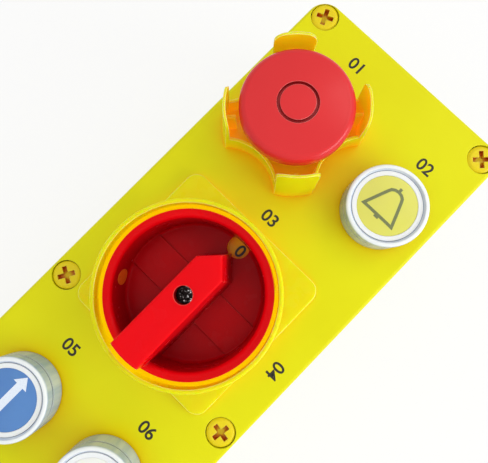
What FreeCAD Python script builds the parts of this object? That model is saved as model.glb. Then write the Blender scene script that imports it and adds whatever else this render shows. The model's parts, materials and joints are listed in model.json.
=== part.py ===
import FreeCAD, Part
import math
import operator
import os
import Sketcher

# Driving dimensions in millimetres (angles in degrees), one sheet cell each
SIZES = {
    # Enclosure shells
    "box_length": 302,
    "box_width": 97,
    "box_corner": 8,
    "base_depth": 57,
    "cover_depth": 18,
    "wall": 3,
    "cover_plate": 3,
    "edge_round": 1.5,
    "seal_width": 1.4,
    "seal_depth": 1.4,
    # Cover screws and the brass inserts they run in
    "screw_inset": 6.7,
    "boss_wall": 2,
    "insert_radius": 3.2,
    "insert_length": 12,
    "insert_tip": 4,
    "shank_radius": 2.2,
    "shank_length": 28,
    "head_radius": 5.4,
    "head_gap": 0.3,
    "head_depth": 3.6,
    "head_crown": 0.7,
    "head_flat": 3.9,
    "post_wall": 0.8,
    "recess_span": 6.8,
    "recess_width": 1.8,
    "recess_depth": 2.2,
    # Rear mounting holes
    "mount_from_side": 15.5,
    "mount_from_end": 26,
    "mount_radius": 2.75,
    # Cable gland in the lower end
    "gland_height": 28,
    "gland_thread": 10,
    "gland_hole_gap": 0.2,
    "gland_washer": 1.2,
    "gland_washer_rim": 14,
    "gland_flats": 24,
    "gland_collar": 6,
    "gland_spout": 9,
    "gland_spout_radius": 9.4,
    "gland_bore": 6,
    "gland_seal_wall": 2,
    "gland_dome": 15,
    "gland_dome_radius": 12.4,
    "gland_mouth": 7.2,
    "gland_grip_depth": 1.1,
    "locknut_flats": 26,
    "locknut_thick": 4.5,
    # Terminal strip on the floor
    "terminal_side_gap": 0.5,
    "terminal_base": 22,
    "terminal_height": 13,
    "terminal_foot": 6,
    "terminal_row": 75,
    "terminal_ear": 9,
    "terminal_slot": 5.6,
    "terminal_screw": 2.4,
    "terminal_screw_row": 6,
    "terminal_rib": 4,
    "fixing_radius": 1.7,
    "fixing_head": 3.4,
    # Rows of controls, from the cover's upper end, and their places from its sides
    "upper_row": 49.3,
    "switch_row": 120.1,
    "middle_row": 192.6,
    "lower_row": 247,
    "stop_from_left": 28.9,
    "alarm_from_right": 21.7,
    "switch_off_middle": 1.2,
    "run_from_left": 26.7,
    "up_from_right": 27.1,
    # Threaded necks shared by the push controls
    "neck_radius": 11,
    "neck_length": 16,
    "neck_gap": 0.2,
    "neck_bore": 9.6,
    "ledge": 4,
    "stem_radius": 6.5,
    "stem_fit": 0.06,
    "gasket_thick": 0.8,
    "gasket_radius": 14.2,
    "nut_flats": 27,
    "nut_thick": 5,
    "thread_fit": 0.04,
    "spring_wire": 0.55,
    # Push button heads
    "bezel_radius": 15,
    "bezel_height": 13.9,
    "bezel_edge": 0.8,
    "bezel_shoulder": 3.4,
    "bezel_groove": 8.4,
    "bezel_groove_width": 0.9,
    "bezel_groove_depth": 0.6,
    "well_radius": 12.8,
    "lip_run": 0.8,
    "lip_drop": 1.1,
    "cup_gap": 0.08,
    "cup_height": 13.1,
    "cup_plate": 8,
    "lens_radius": 11,
    "lens_seat": 10.2,
    "lens_edge": 13,
    "lens_crown": 0.5,
    "lens_fit": 0.05,
    "button_travel": 4,
    # Contact blocks behind the panel
    "block_wide": 30,
    "block_deep": 26,
    "block_height": 22,
    "collar_wall": 2.4,
    "collar_height": 6,
    "slot_length": 20,
    "slot_width": 8,
    "slot_depth": 18,
    "well_gap": 0.6,
    "well_depth": 8,
    "foot_radius": 2.5,
    "stem_tail": 1.5,
    "bridge_drop": 9,
    "bridge_length": 18,
    "bridge_width": 5,
    "bridge_thick": 1.2,
    "contact_gap": 0.4,
    "contact_length": 4,
    "clamp_radius": 1.9,
    "clamp_shank": 1.2,
    "clamp_head": 1.4,
    "clamp_length": 6,
    "clamp_x": 12.4,
    "clamp_y": 10.4,
    "clamp_recess": 2.3,
    "clamp_recess_width": 0.8,
    "clamp_recess_depth": 0.7,
    # Emergency stop
    "guard_plate": 2.4,
    "guard_foot": 27,
    "guard_lip": 25.3,
    "guard_height": 28,
    "guard_wall": 2,
    "guard_lip_wall": 0.9,
    "waist_wall": 1.1,
    "bite_radius": 18.8,
    "bite_reach": 37,
    "bite_height": 12,
    "lobe_round": 3.6,
    "rib_reach": 21.2,
    "rib_thick": 1.2,
    "rib_drop": 12,
    "bushing_rim": 14.3,
    "bushing_flange": 3,
    "head_rim": 20,
    "head_top": 29.9,
    "head_crease": 28.6,
    "head_under": 21.6,
    "head_edge": 3,
    "head_lower_edge": 1.2,
    "hub_radius": 9,
    "hub_gap": 1.3,
    "spigot_radius": 4.5,
    "spigot_top": 22.5,
    "cap_radius": 6.1,
    "cap_groove": 1.1,
    "cap_groove_depth": 1.4,
    "cap_depth": 3.2,
    "stop_travel": 5.5,
    # Rotary switch
    "plate_side": 66.5,
    "plate_corner": 5,
    "plate_thick": 2.4,
    "rotor_hole": 10.5,
    "collar_radius": 31,
    "collar_foot": 31.8,
    "collar_rim": 1.5,
    "collar_top": 32,
    "collar_round": 0.6,
    "dial_gap": 0.6,
    "knob_radius": 28.2,
    "knob_skirt": 5,
    "knob_skirt_wall": 2,
    "knob_rim": 27.1,
    "knob_mouth": 25.2,
    "knob_mouth_round": 1.6,
    "knob_floor_radius": 25,
    "knob_floor": 10,
    "knob_floor_thick": 2.4,
    "knob_cove": 1.2,
    "knob_band": 13.7,
    "knob_band_shift": 0.85,
    "knob_band_rise": 0.4,
    "knob_hub": 9,
    "bar_half": 5.6,
    "bar_top": 38.4,
    "bar_point": 17,
    "bar_shoulder": 11.2,
    "bar_flare": 1.9,
    "bar_edge": 0.7,
    "bar_hole": 2.95,
    "bar_hole_depth": 7,
    "window_radius": 4.2,
    "window_reach": 22.8,
    "knob_screw_head": 2.8,
    "knob_screw_thick": 2.4,
    "knob_screw_shank": 1.9,
    "knob_screw_length": 36,
    "knob_recess": 3.9,
    "knob_recess_width": 1,
    "knob_recess_depth": 1.2,
    "spindle_radius": 5,
    "spindle_top": 12,
    "spindle_fit": 0.06,
    "press_fit": 0.02,
    "switch_side": 46,
    "switch_depth": 34,
    "switch_roof": 5,
    "switch_cavity": 17,
    "end_plate": 5,
    "end_bearing": 3,
    "cam_radius": 13,
    "cam_flat": 8.5,
    "cam_thick": 8,
    "cam_drop": 6,
    "fix_spread": 18.5,
    "fix_radius": 1.6,
    "fix_head": 3,
    "fix_head_depth": 1.6,
    "fix_length": 16,
}
TERMINAL_WAYS = 8
GLAND_GRIPS = 6
SPRING_TURNS = 4
SPRING_SIDES = 10
HALF = 0.5
HEX_CORNER = 1 / math.sqrt(3)
DIAGONAL = math.sqrt(HALF)
FULL_TURN = 360
QUARTER_TURN = 90
START, FINISH, CENTRE = range(1, 4)
ORIGIN = (-1, START)

doc = FreeCAD.newDocument("inspection_box")
sheet = doc.addObject("Spreadsheet::Sheet", "Sizes")
for row, (alias, number) in enumerate(SIZES.items(), start=1):
    sheet.set(f"A{row}", alias)
    sheet.set(f"B{row}", str(number))
    sheet.setAlias(f"B{row}", alias)
doc.recompute()


class Size:
    """A length that keeps its number together with the sheet formula it comes from."""

    def __init__(self, number, formula):
        self.number = float(number)
        self.formula = formula

    def __add__(self, other):
        return combined(operator.add, "+", self, other)

    def __radd__(self, other):
        return combined(operator.add, "+", other, self)

    def __sub__(self, other):
        return combined(operator.sub, "-", self, other)

    def __rsub__(self, other):
        return combined(operator.sub, "-", other, self)

    def __mul__(self, other):
        return combined(operator.mul, "*", self, other)

    def __rmul__(self, other):
        return combined(operator.mul, "*", other, self)

    def __truediv__(self, other):
        return combined(operator.truediv, "/", self, other)

    def __neg__(self):
        return combined(operator.sub, "-", 0, self)


def as_size(value):
    """Wrap a plain number, so that numbers and sheet sizes mix."""
    return value if isinstance(value, Size) else Size(value, f"({float(value)!r})")


def combined(action, sign, left, right):
    """Join two sizes by one arithmetic step, in number and in formula."""
    left, right = as_size(left), as_size(right)
    return Size(action(left.number, right.number), f"({left.formula} {sign} {right.formula})")


def root(value):
    """Square root of a size."""
    return Size(math.sqrt(value.number), f"sqrt({value.formula})")


def smaller(first, second):
    """The smaller of two sizes."""
    return Size(min(first.number, second.number), f"min({first.formula}; {second.formula})")


def slope(rise, run):
    """Angle of a slope in degrees."""
    return Size(math.degrees(math.atan2(rise.number, run.number)), f"atan({rise.formula} / {run.formula})")


def dome_radius(half_width, rise):
    """Radius of the arc that rises by rise over half_width."""
    return (half_width * half_width + rise * rise) / (2 * rise)


class Sheet:
    """Sizes of the sheet by name."""

    def __getattr__(self, alias):
        return Size(float(sheet.get(alias)), f"Sizes.{alias}")


d = Sheet()
front = d.base_depth + d.cover_depth
right = d.box_width * HALF
upper = d.box_length * HALF
zero = as_size(0)
stop_x, stop_y = d.stop_from_left - right, upper - d.upper_row
switch_x, switch_y = -d.switch_off_middle, upper - d.switch_row

# The four push buttons: name and place on the cover
BUTTONS = [("alarm", right - d.alarm_from_right, upper - d.upper_row),
           ("run", d.run_from_left - right, upper - d.middle_row),
           ("up", right - d.up_from_right, upper - d.middle_row),
           ("down", right - d.up_from_right, upper - d.lower_row)]


# Building steps shared by all pieces
def new_body(label):
    """An empty body that will become the piece of that name."""
    body = doc.addObject("PartDesign::Body", label)
    body.Label = label
    return body


def bind(item, setting, value):
    """Tie one setting of an object to a size."""
    item.setExpression(setting, as_size(value).formula)


def place(item, x, y, z):
    """Stand a finished piece at its place."""
    for axis, value in zip("xyz", (x, y, z)):
        bind(item, f"Placement.Base.{axis}", value)
    return item


def draw_on(body, role, lift=zero):
    """A sketch on one of the body's origin planes, lifted along the plane's normal."""
    sketch = body.newObject("Sketcher::SketchObject", f"{body.Label}_sketch")
    plane = next(item for item in body.Origin.OriginFeatures if item.Role == role)
    sketch.AttachmentSupport = [(plane, "")]
    sketch.MapMode = "FlatFace"
    bind(sketch, "AttachmentOffset.Base.z", lift)
    return sketch


def flat_on(body, height=zero):
    """A level sketch at a height."""
    return draw_on(body, "XY_Plane", height)


def hold(sketch, kind, value, *points):
    """Add one dimension to a sketch and tie it to a size."""
    value = as_size(value)
    index = sketch.addConstraint(Sketcher.Constraint(kind, *points, value.number))
    name = f"{kind}_{index}"
    sketch.renameConstraint(index, name)
    sketch.setExpression(f"Constraints.{name}", value.formula)


def arc_between(start, finish, radius, turn):
    """Arc of that radius from start to finish; turn is 1 for a left and -1 for a right bend."""
    chord = finish - start
    reach = math.sqrt(max(radius * radius - chord.Length * chord.Length / 4, 0))
    aside = FreeCAD.Vector(-chord.y, chord.x, 0).normalize() * reach * turn
    centre = (start + finish) * HALF + aside
    first, last = (start, finish) if turn > 0 else (finish, start)
    angles = [math.atan2(spot.y - centre.y, spot.x - centre.x) for spot in (first, last)]
    return Part.ArcOfCircle(Part.Circle(centre, FreeCAD.Vector(0, 0, 1), radius), *angles)


def outline(sketch, corners, bends=None):
    """Closed outline through corners; bends gives an edge's number its radius and turn."""
    bends = bends or {}
    spots = [FreeCAD.Vector(as_size(x).number, as_size(y).number, 0) for x, y in corners]
    edges = []
    for index, start in enumerate(spots):
        finish = spots[(index + 1) % len(spots)]
        if index in bends:
            radius, turn = bends[index]
            curve = arc_between(start, finish, as_size(radius).number, turn)
            ends = (START, FINISH) if turn > 0 else (FINISH, START)
        else:
            curve = Part.LineSegment(start, finish)
            ends = (START, FINISH)
        edges.append((sketch.addGeometry(curve, False), *ends))
    for index, (edge, first, last) in enumerate(edges):
        follower, follower_first, _ = edges[(index + 1) % len(edges)]
        sketch.addConstraint(Sketcher.Constraint("Coincident", edge, last, follower, follower_first))
        x, y = corners[index]
        hold(sketch, "DistanceX", x, *ORIGIN, edge, first)
        hold(sketch, "DistanceY", y, *ORIGIN, edge, first)
        if index in bends:
            hold(sketch, "Radius", bends[index][0], edge)
    return sketch


def circles(sketch, centres, radius):
    """Equal circles on a sketch."""
    for x, y in centres:
        spot = FreeCAD.Vector(as_size(x).number, as_size(y).number, 0)
        circle = Part.Circle(spot, FreeCAD.Vector(0, 0, 1), as_size(radius).number)
        edge = sketch.addGeometry(circle, False)
        hold(sketch, "DistanceX", x, *ORIGIN, edge, CENTRE)
        hold(sketch, "DistanceY", y, *ORIGIN, edge, CENTRE)
        hold(sketch, "Radius", radius, edge)
    return sketch


def disc(body, height, radius):
    """A level sketch with one circle round the body's own axis."""
    return circles(flat_on(body, height), [(zero, zero)], radius)


def rectangle(sketch, wide, deep, x=zero, y=zero):
    """Rectangle centred at x, y."""
    corners = [(x + side * wide * HALF, y + end * deep * HALF)
               for side, end in ((-1, -1), (1, -1), (1, 1), (-1, 1))]
    return outline(sketch, corners)


def rounded_rectangle(sketch, wide, deep, corner):
    """Rectangle about the origin with round corners."""
    across, along = wide * HALF, deep * HALF
    corners = [(corner - across, -along), (across - corner, -along),
               (across, corner - along), (across, along - corner),
               (across - corner, along), (corner - across, along),
               (-across, along - corner), (-across, corner - along)]
    return outline(sketch, corners, {edge: (corner, 1) for edge in (1, 3, 5, 7)})


def hexagon(sketch, flats):
    """Hexagon about the origin, given across its flats."""
    half, point = flats * HALF, flats * HEX_CORNER
    return outline(sketch, [(point, zero), (point * HALF, half), (-point * HALF, half),
                            (-point, zero), (-point * HALF, -half), (point * HALF, -half)])


def quarter_turns(x, y):
    """A point and its three copies, each a quarter turn on."""
    return [(x, y), (-y, x), (-x, -y), (y, -x)]


def add_feature(body, kind, sketch):
    """Append one feature made from a sketch."""
    feature = body.newObject(kind, f"{body.Label}_step")
    feature.Profile = sketch
    return feature


def pad(body, sketch, length, down=False):
    """Add material along the sketch's normal, or against it."""
    feature = add_feature(body, "PartDesign::Pad", sketch)
    feature.Reversed = down
    bind(feature, "Length", length)
    return feature


def pocket(body, sketch, depth, up=False):
    """Cut against the sketch's normal, or along it, and make sure that it cut."""
    doc.recompute()
    before = body.Shape.Volume
    feature = add_feature(body, "PartDesign::Pocket", sketch)
    feature.Reversed = up
    bind(feature, "Length", depth)
    doc.recompute()
    if not body.Shape.Volume < before:
        raise RuntimeError(f"{body.Label}: a pocket cut nothing")
    return feature


def revolve(body, corners, bends=None):
    """Turn a profile of (radius, height) corners round the body's own axis."""
    sketch = outline(draw_on(body, "XZ_Plane"), corners, bends)
    feature = add_feature(body, "PartDesign::Revolution", sketch)
    feature.ReferenceAxis = (sketch, ["V_Axis"])
    feature.Angle = FULL_TURN
    return feature


def groove(body, corners, bends, x, y):
    """Cut out a turned profile whose axis stands at a place of its own, and make sure that it cut."""
    doc.recompute()
    before = body.Shape.Volume
    sketch = outline(draw_on(body, "XZ_Plane", -y), corners, bends)
    bind(sketch, "AttachmentOffset.Base.x", x)
    feature = add_feature(body, "PartDesign::Groove", sketch)
    feature.ReferenceAxis = (sketch, ["V_Axis"])
    feature.Angle = FULL_TURN
    doc.recompute()
    if not body.Shape.Volume < before:
        raise RuntimeError(f"{body.Label}: a groove cut nothing")
    return feature


def round_edges(body, radius, chosen):
    """Round those edges of the body for which chosen(edge) holds."""
    doc.recompute()
    base = body.Tip
    names = [f"Edge{count}" for count, edge in enumerate(base.Shape.Edges, start=1) if chosen(edge)]
    feature = body.newObject("PartDesign::Fillet", f"{body.Label}_round")
    feature.Base = (base, names)
    bind(feature, "Radius", radius)
    return feature


def lies_at(height):
    """Test for edges that lie flat at a height."""
    def test(edge):
        box = edge.BoundBox
        return max(abs(box.ZMin - height.number), abs(box.ZMax - height.number)) < TOUCH
    return test


def group(label, shape, spots):
    """One node of several equal solids, each spot an (x, y, z, turn in degrees)."""
    copies = []
    for x, y, z, turn in spots:
        copy = shape.copy()
        spin = FreeCAD.Rotation(FreeCAD.Vector(0, 0, 1), turn)
        shift = FreeCAD.Vector(*(as_size(value).number for value in (x, y, z)))
        copy.Placement = FreeCAD.Placement(shift, spin)
        copies.append(copy)
    node = doc.addObject("Part::Feature", label)
    node.Label = label
    node.Shape = Part.makeCompound(copies)
    node.Placement = FreeCAD.Placement()
    pieces.append(node)
    return node


def keep(item):
    """Count an object among the pieces that are written out."""
    pieces.append(item)
    return item


TOUCH = 1e-4
pieces = []

# Places of the cover screws, listed along each long side
screw_x = right - d.screw_inset
screw_y = upper - d.screw_inset
screw_spots = [(side * screw_x, end * screw_y) for side in (-1, 1) for end in (1, 0, -1)]
insert_hole = d.insert_length + d.insert_tip
boss_radius = d.insert_radius + d.boss_wall
mount_spots = [(side * (right - d.mount_from_side), end * (upper - d.mount_from_end))
               for side in (-1, 1) for end in (-1, 1)]
terminal_span = d.box_width - 2 * (d.wall + d.terminal_side_gap + d.terminal_ear)
terminal_y = d.terminal_row - upper
terminal_ends = [side * (terminal_span + d.terminal_ear) * HALF for side in (-1, 1)]


def make_base_box():
    """Deep tray with screw bosses, seal groove, rear holes and cable hole."""
    body = new_body("base_box")
    pad(body, rounded_rectangle(flat_on(body), d.box_width, d.box_length, d.box_corner),
        d.base_depth)
    round_edges(body, d.edge_round, lies_at(zero))
    inner = (d.box_width - 2 * d.wall, d.box_length - 2 * d.wall, d.box_corner - d.wall)
    pocket(body, rounded_rectangle(flat_on(body, d.base_depth), *inner), d.base_depth - d.wall)
    pad(body, circles(flat_on(body, d.wall), screw_spots, boss_radius), d.base_depth - d.wall)
    pocket(body, circles(flat_on(body, d.base_depth), screw_spots, d.insert_radius), insert_hole)
    groove = flat_on(body, d.base_depth)
    seal_outlines(groove)
    pocket(body, groove, d.seal_depth)
    pocket(body, circles(flat_on(body, d.wall), mount_spots, d.mount_radius), d.wall)
    feet = [(x, terminal_y) for x in terminal_ends]
    pad(body, circles(flat_on(body, d.wall), feet, d.fixing_radius + d.boss_wall), d.terminal_foot)
    pocket(body, circles(flat_on(body, d.wall + d.terminal_foot), feet, d.fixing_radius),
           d.terminal_foot)
    entry = draw_on(body, "XZ_Plane", upper)
    pocket(body, circles(entry, [(zero, d.gland_height)], d.gland_thread + d.gland_hole_gap), d.wall)
    return keep(body)


def seal_outlines(sketch):
    """Outer and inner outline of the seal, along the middle of the wall."""
    for inset in ((d.wall - d.seal_width) * HALF, (d.wall + d.seal_width) * HALF):
        rounded_rectangle(sketch, d.box_width - 2 * inset, d.box_length - 2 * inset, d.box_corner - inset)


def make_cover():
    """Lid with screw posts, sunk screw seats and the holes for the controls."""
    body = new_body("cover")
    pad(body, rounded_rectangle(flat_on(body, d.base_depth), d.box_width, d.box_length,
                                d.box_corner), d.cover_depth)
    round_edges(body, d.edge_round, lies_at(front))
    hollow = d.cover_depth - d.cover_plate
    inner = (d.box_width - 2 * d.wall, d.box_length - 2 * d.wall, d.box_corner - d.wall)
    pocket(body, rounded_rectangle(flat_on(body, d.base_depth), *inner), hollow, up=True)
    seat_radius = d.head_radius + d.head_gap
    post = smaller(seat_radius + d.post_wall, d.screw_inset - d.head_gap)
    pad(body, circles(flat_on(body, d.base_depth), screw_spots, post), hollow)
    pocket(body, circles(flat_on(body, front), screw_spots, seat_radius), d.head_depth)
    pocket(body, circles(flat_on(body, front), screw_spots, d.shank_radius + d.head_gap),
           d.cover_depth)
    necks = [(stop_x, stop_y)] + [(x, y) for _, x, y in BUTTONS]
    pocket(body, circles(flat_on(body, front), necks, d.neck_radius + d.neck_gap), d.cover_plate)
    rotor = circles(flat_on(body, front), [(switch_x, switch_y)], d.rotor_hole)
    pocket(body, circles(rotor, fix_spots(switch_x, switch_y), d.fix_radius), d.cover_plate)
    return keep(body)


def make_cover_gasket():
    """Rubber cord seal that fills the groove in the rim."""
    body = new_body("cover_gasket")
    ring = flat_on(body, d.base_depth - d.seal_depth)
    seal_outlines(ring)
    pad(body, ring, d.seal_depth)
    return keep(body)


def cross_recess(body, top, span, width, depth):
    """Cut the driver's cross into a screw head."""
    reach, half = span * HALF, width * HALF
    arm = [(reach, -half), (reach, half), (half, half)]
    corners = [spot for turned in zip(*(quarter_turns(x, y) for x, y in arm)) for spot in turned]
    pocket(body, outline(flat_on(body, top), corners), depth)


def make_cover_screws():
    """Moulded cross-head screws, each turned as it stopped, in their brass inserts."""
    screw = new_body("cover_screw_master")
    shoulder = d.head_radius - d.head_flat
    revolve(screw, [(zero, zero), (d.head_flat, zero), (d.head_radius, -d.head_crown),
                    (d.head_radius, -d.head_depth), (d.shank_radius, -d.head_depth),
                    (d.shank_radius, -d.shank_length), (zero, -d.shank_length)],
            {1: (dome_radius(shoulder, d.head_crown), -1)})
    cross_recess(screw, zero, d.recess_span, d.recess_width, d.recess_depth)
    doc.recompute()
    first_turn, next_turn = 24, 37
    group("cover_screws", screw.Shape, [(x, y, front, first_turn + next_turn * count)
                                        for count, (x, y) in enumerate(screw_spots)])
    insert = new_body("screw_insert_master")
    bore = d.shank_radius + d.stem_fit
    revolve(insert, [(bore, -d.insert_length), (d.insert_radius, -d.insert_length),
                     (d.insert_radius, zero), (bore, zero)])
    doc.recompute()
    group("screw_inserts", insert.Shape, [(x, y, d.base_depth, 0) for x, y in screw_spots])


def make_terminals():
    """Row of screw terminals on two feet, with barrier ribs between the ways."""
    top = d.wall + d.terminal_foot
    body = new_body("terminal_strip")
    length = terminal_span + 2 * d.terminal_ear
    plan = rectangle(flat_on(body, top), length, d.terminal_base, zero, terminal_y)
    pad(body, plan, d.fixing_head)
    core = rectangle(flat_on(body, top), terminal_span, d.terminal_base, zero, terminal_y)
    pad(body, core, d.terminal_height)
    pitch = terminal_span / TERMINAL_WAYS
    way_x = [(count - (TERMINAL_WAYS - 1) * HALF) * pitch for count in range(TERMINAL_WAYS)]
    slots = flat_on(body, top + d.terminal_height)
    for x in way_x:
        rectangle(slots, d.terminal_slot, d.terminal_base + d.terminal_rib, x, terminal_y)
    pocket(body, slots, d.terminal_rib)
    wells = [(x, terminal_y + row * d.terminal_screw_row) for x in way_x for row in (-1, 1)]
    floor = top + d.terminal_height - d.terminal_rib
    pocket(body, circles(flat_on(body, floor), wells, d.terminal_screw), d.terminal_rib)
    holes = [(x, terminal_y) for x in terminal_ends]
    pocket(body, circles(flat_on(body, top + d.fixing_head), holes, d.fixing_radius), d.fixing_head)
    keep(body)

    screw = new_body("terminal_screw_master")
    pad(screw, circles(flat_on(screw), [(zero, zero)], d.terminal_screw), d.terminal_rib, down=True)
    slot = rectangle(flat_on(screw), 2 * d.terminal_screw, d.bridge_thick * HALF)
    pocket(screw, slot, d.bridge_thick)
    doc.recompute()
    group("terminal_screws", screw.Shape, [(x, y, floor, 0) for x, y in wells])

    fixing = new_body("terminal_fixing_master")
    revolve(fixing, [(zero, d.fixing_radius), (d.fixing_head, d.fixing_radius), (d.fixing_head, zero),
                     (d.fixing_radius, zero), (d.fixing_radius, -d.fixing_head - d.terminal_foot),
                     (zero, -d.fixing_head - d.terminal_foot)])
    doc.recompute()
    group("terminal_fixings", fixing.Shape, [(x, y, top + d.fixing_head, 0) for x, y in holes])


def stand_gland(body):
    """Turn a gland piece's axis out of the lower end wall."""
    outwards = FreeCAD.Rotation(FreeCAD.Vector(1, 0, 0), QUARTER_TURN)
    body.Placement = FreeCAD.Placement(FreeCAD.Vector(), outwards)
    return keep(place(body, zero, -upper, d.gland_height))


def make_gland():
    """Cable gland: washer, body, rubber seal, dome nut and inner lock nut."""
    washer = new_body("gland_washer")
    revolve(washer, [(d.gland_thread, zero), (d.gland_washer_rim, zero),
                     (d.gland_washer_rim, d.gland_washer), (d.gland_thread, d.gland_washer)])
    stand_gland(washer)

    collar_end = d.gland_washer + d.gland_collar
    spout_end = collar_end + d.gland_spout
    seal_radius = d.gland_bore + d.gland_seal_wall
    thread_end = -d.wall - d.locknut_thick - d.gland_washer
    body = new_body("gland_body")
    pad(body, hexagon(flat_on(body, d.gland_washer), d.gland_flats), d.gland_collar)
    revolve(body, [(d.gland_bore, thread_end), (d.gland_thread, thread_end),
                   (d.gland_thread, d.gland_washer), (d.gland_spout_radius, collar_end),
                   (d.gland_spout_radius, spout_end), (d.gland_bore, spout_end)])
    pocket(body, disc(body, spout_end, seal_radius), d.gland_spout)
    pocket(body, disc(body, spout_end, d.gland_bore), spout_end - thread_end)
    stand_gland(body)

    seal = new_body("gland_seal")
    revolve(seal, [(d.gland_bore, collar_end), (seal_radius, collar_end),
                   (seal_radius, spout_end), (d.gland_bore, spout_end)])
    stand_gland(seal)

    nut = new_body("gland_nut")
    dome_end = collar_end + d.gland_dome
    dome_round = (dome_end - spout_end) * HALF
    thread = d.gland_spout_radius + d.thread_fit
    revolve(nut, [(thread, collar_end), (d.gland_dome_radius, collar_end),
                  (d.gland_dome_radius, dome_end - dome_round),
                  (d.gland_dome_radius - dome_round, dome_end), (d.gland_mouth, dome_end),
                  (d.gland_mouth, spout_end), (thread, spout_end)], {2: (dome_round, 1)})
    grips = flat_on(nut, collar_end)
    for count in range(GLAND_GRIPS):
        angle = math.radians(FULL_TURN / GLAND_GRIPS * count)
        reach = d.gland_dome_radius + d.gland_grip_depth
        circles(grips, [(reach * math.cos(angle), reach * math.sin(angle))], 2 * d.gland_grip_depth)
    pocket(nut, grips, d.gland_spout, up=True)
    stand_gland(nut)

    locknut = new_body("gland_locknut")
    pad(locknut, hexagon(flat_on(locknut, -d.wall), d.locknut_flats), d.locknut_thick, down=True)
    pocket(locknut, disc(locknut, -d.wall, d.gland_thread + d.thread_fit), d.locknut_thick)
    stand_gland(locknut)


# Heights that the push controls share, above the cover
ledge_bore = d.stem_radius + d.stem_fit
ledge_top = d.ledge - d.neck_length
stem_end = -d.neck_length - d.stem_tail
bridge_top = -d.neck_length - d.bridge_drop
coil_radius = (d.stem_radius + d.neck_bore) * HALF


def on_panel(body, x, y):
    """Stand a control's piece on the outside of the cover."""
    return keep(place(body, x, y, front))


def make_spring(label, x, y, top):
    """Return spring between the neck's ledge and the height top, wound in short chords."""
    rings = []
    count = SPRING_TURNS * SPRING_SIDES
    wire = d.spring_wire.number
    low = ledge_top.number + wire
    high = top.number - wire
    for step in range(count + 1):
        angle = 2 * math.pi * step / SPRING_SIDES
        height = low + (high - low) * step / count
        corners = []
        for aside, above in ((-wire, -wire), (wire, -wire), (wire, wire), (-wire, wire)):
            reach = coil_radius.number + aside
            corners.append(FreeCAD.Vector(reach * math.cos(angle), reach * math.sin(angle), height + above))
        rings.append(Part.makePolygon(corners + corners[:1]))
    spring = doc.addObject("Part::Feature", label)
    spring.Label = label
    spring.Shape = Part.makeLoft(rings, True, True)
    spot = FreeCAD.Vector(x.number, y.number, front.number)
    spring.Placement = FreeCAD.Placement(spot, FreeCAD.Rotation())
    return keep(spring)


def make_bezel(label, x, y):
    """Grooved bezel with its threaded neck in one piece."""
    body = new_body(label)
    groove_top = d.bezel_groove + d.bezel_groove_width
    groove_floor = d.bezel_radius - d.bezel_groove_depth
    corners = [(ledge_bore, -d.neck_length), (ledge_bore, ledge_top), (d.neck_bore, ledge_top),
               (d.neck_bore, d.bezel_shoulder), (d.well_radius, d.bezel_shoulder),
               (d.well_radius, d.bezel_height - d.lip_drop),
               (d.well_radius + d.lip_run, d.bezel_height),
               (d.bezel_radius - d.bezel_edge, d.bezel_height),
               (d.bezel_radius, d.bezel_height - d.bezel_edge),
               (d.bezel_radius, groove_top), (groove_floor, groove_top),
               (groove_floor, d.bezel_groove), (d.bezel_radius, d.bezel_groove),
               (d.bezel_radius, d.gasket_thick), (d.neck_radius, d.gasket_thick),
               (d.neck_radius, -d.neck_length)]
    revolve(body, corners, {7: (d.bezel_edge, -1)})
    return on_panel(body, x, y)


def make_plunger(label, x, y):
    """Sliding cup that carries the lens, with the stem that works the contact."""
    body = new_body(label)
    seat_wall = d.lens_radius + d.lens_fit
    cup_radius = d.well_radius - d.cup_gap
    revolve(body, [(zero, bridge_top), (d.foot_radius, bridge_top), (d.foot_radius, stem_end),
                   (d.stem_radius, stem_end), (d.stem_radius, d.cup_plate), (cup_radius, d.cup_plate),
                   (cup_radius, d.cup_height), (seat_wall, d.cup_height),
                   (seat_wall, d.lens_seat), (zero, d.lens_seat)])
    return on_panel(body, x, y)


def make_lens(label, x, y):
    """Slightly crowned lens that snaps into the cup."""
    body = new_body(label)
    top = d.lens_edge + d.lens_crown
    revolve(body, [(zero, d.lens_seat), (d.lens_radius, d.lens_seat), (d.lens_radius, d.lens_edge),
                   (zero, top)], {2: (dome_radius(d.lens_radius, d.lens_crown), 1)})
    return on_panel(body, x, y)


def make_block(label, x, y):
    """Contact block with a collar on the neck, a contact slot and two clamp screw holes."""
    body = new_body(label)
    top = -d.neck_length
    grip = d.neck_radius + d.thread_fit
    pad(body, rectangle(flat_on(body, top), d.block_wide, d.block_deep), d.block_height, down=True)
    collar = disc(body, top, grip)
    pad(body, circles(collar, [(zero, zero)], grip + d.collar_wall), d.collar_height)
    pocket(body, disc(body, top, d.stem_radius + d.well_gap), d.well_depth)
    pocket(body, rectangle(flat_on(body, top), d.slot_length, d.slot_width), d.slot_depth)
    pocket(body, circles(flat_on(body, top), clamp_spots(zero, zero), d.clamp_shank),
           d.clamp_length)
    return on_panel(body, x, y)


def clamp_spots(x, y):
    """Places of a contact block's two clamp screws."""
    return [(x + side * d.clamp_x, y + side * d.clamp_y) for side in (-1, 1)]


def make_bridge(label, x, y):
    """Moving contact strip under the stem's foot."""
    body = new_body(label)
    pad(body, rectangle(flat_on(body, bridge_top), d.bridge_length, d.bridge_width),
        d.bridge_thick, down=True)
    return on_panel(body, x, y)


def contact_bar(body, low, high):
    """Two fixed contacts at the slot's ends, between two heights."""
    middle = (d.slot_length - d.contact_length) * HALF
    sketch = flat_on(body, low)
    for side in (-1, 1):
        rectangle(sketch, d.contact_length, d.bridge_width, side * middle)
    pad(body, sketch, high - low)
    doc.recompute()
    return body.Shape


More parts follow.
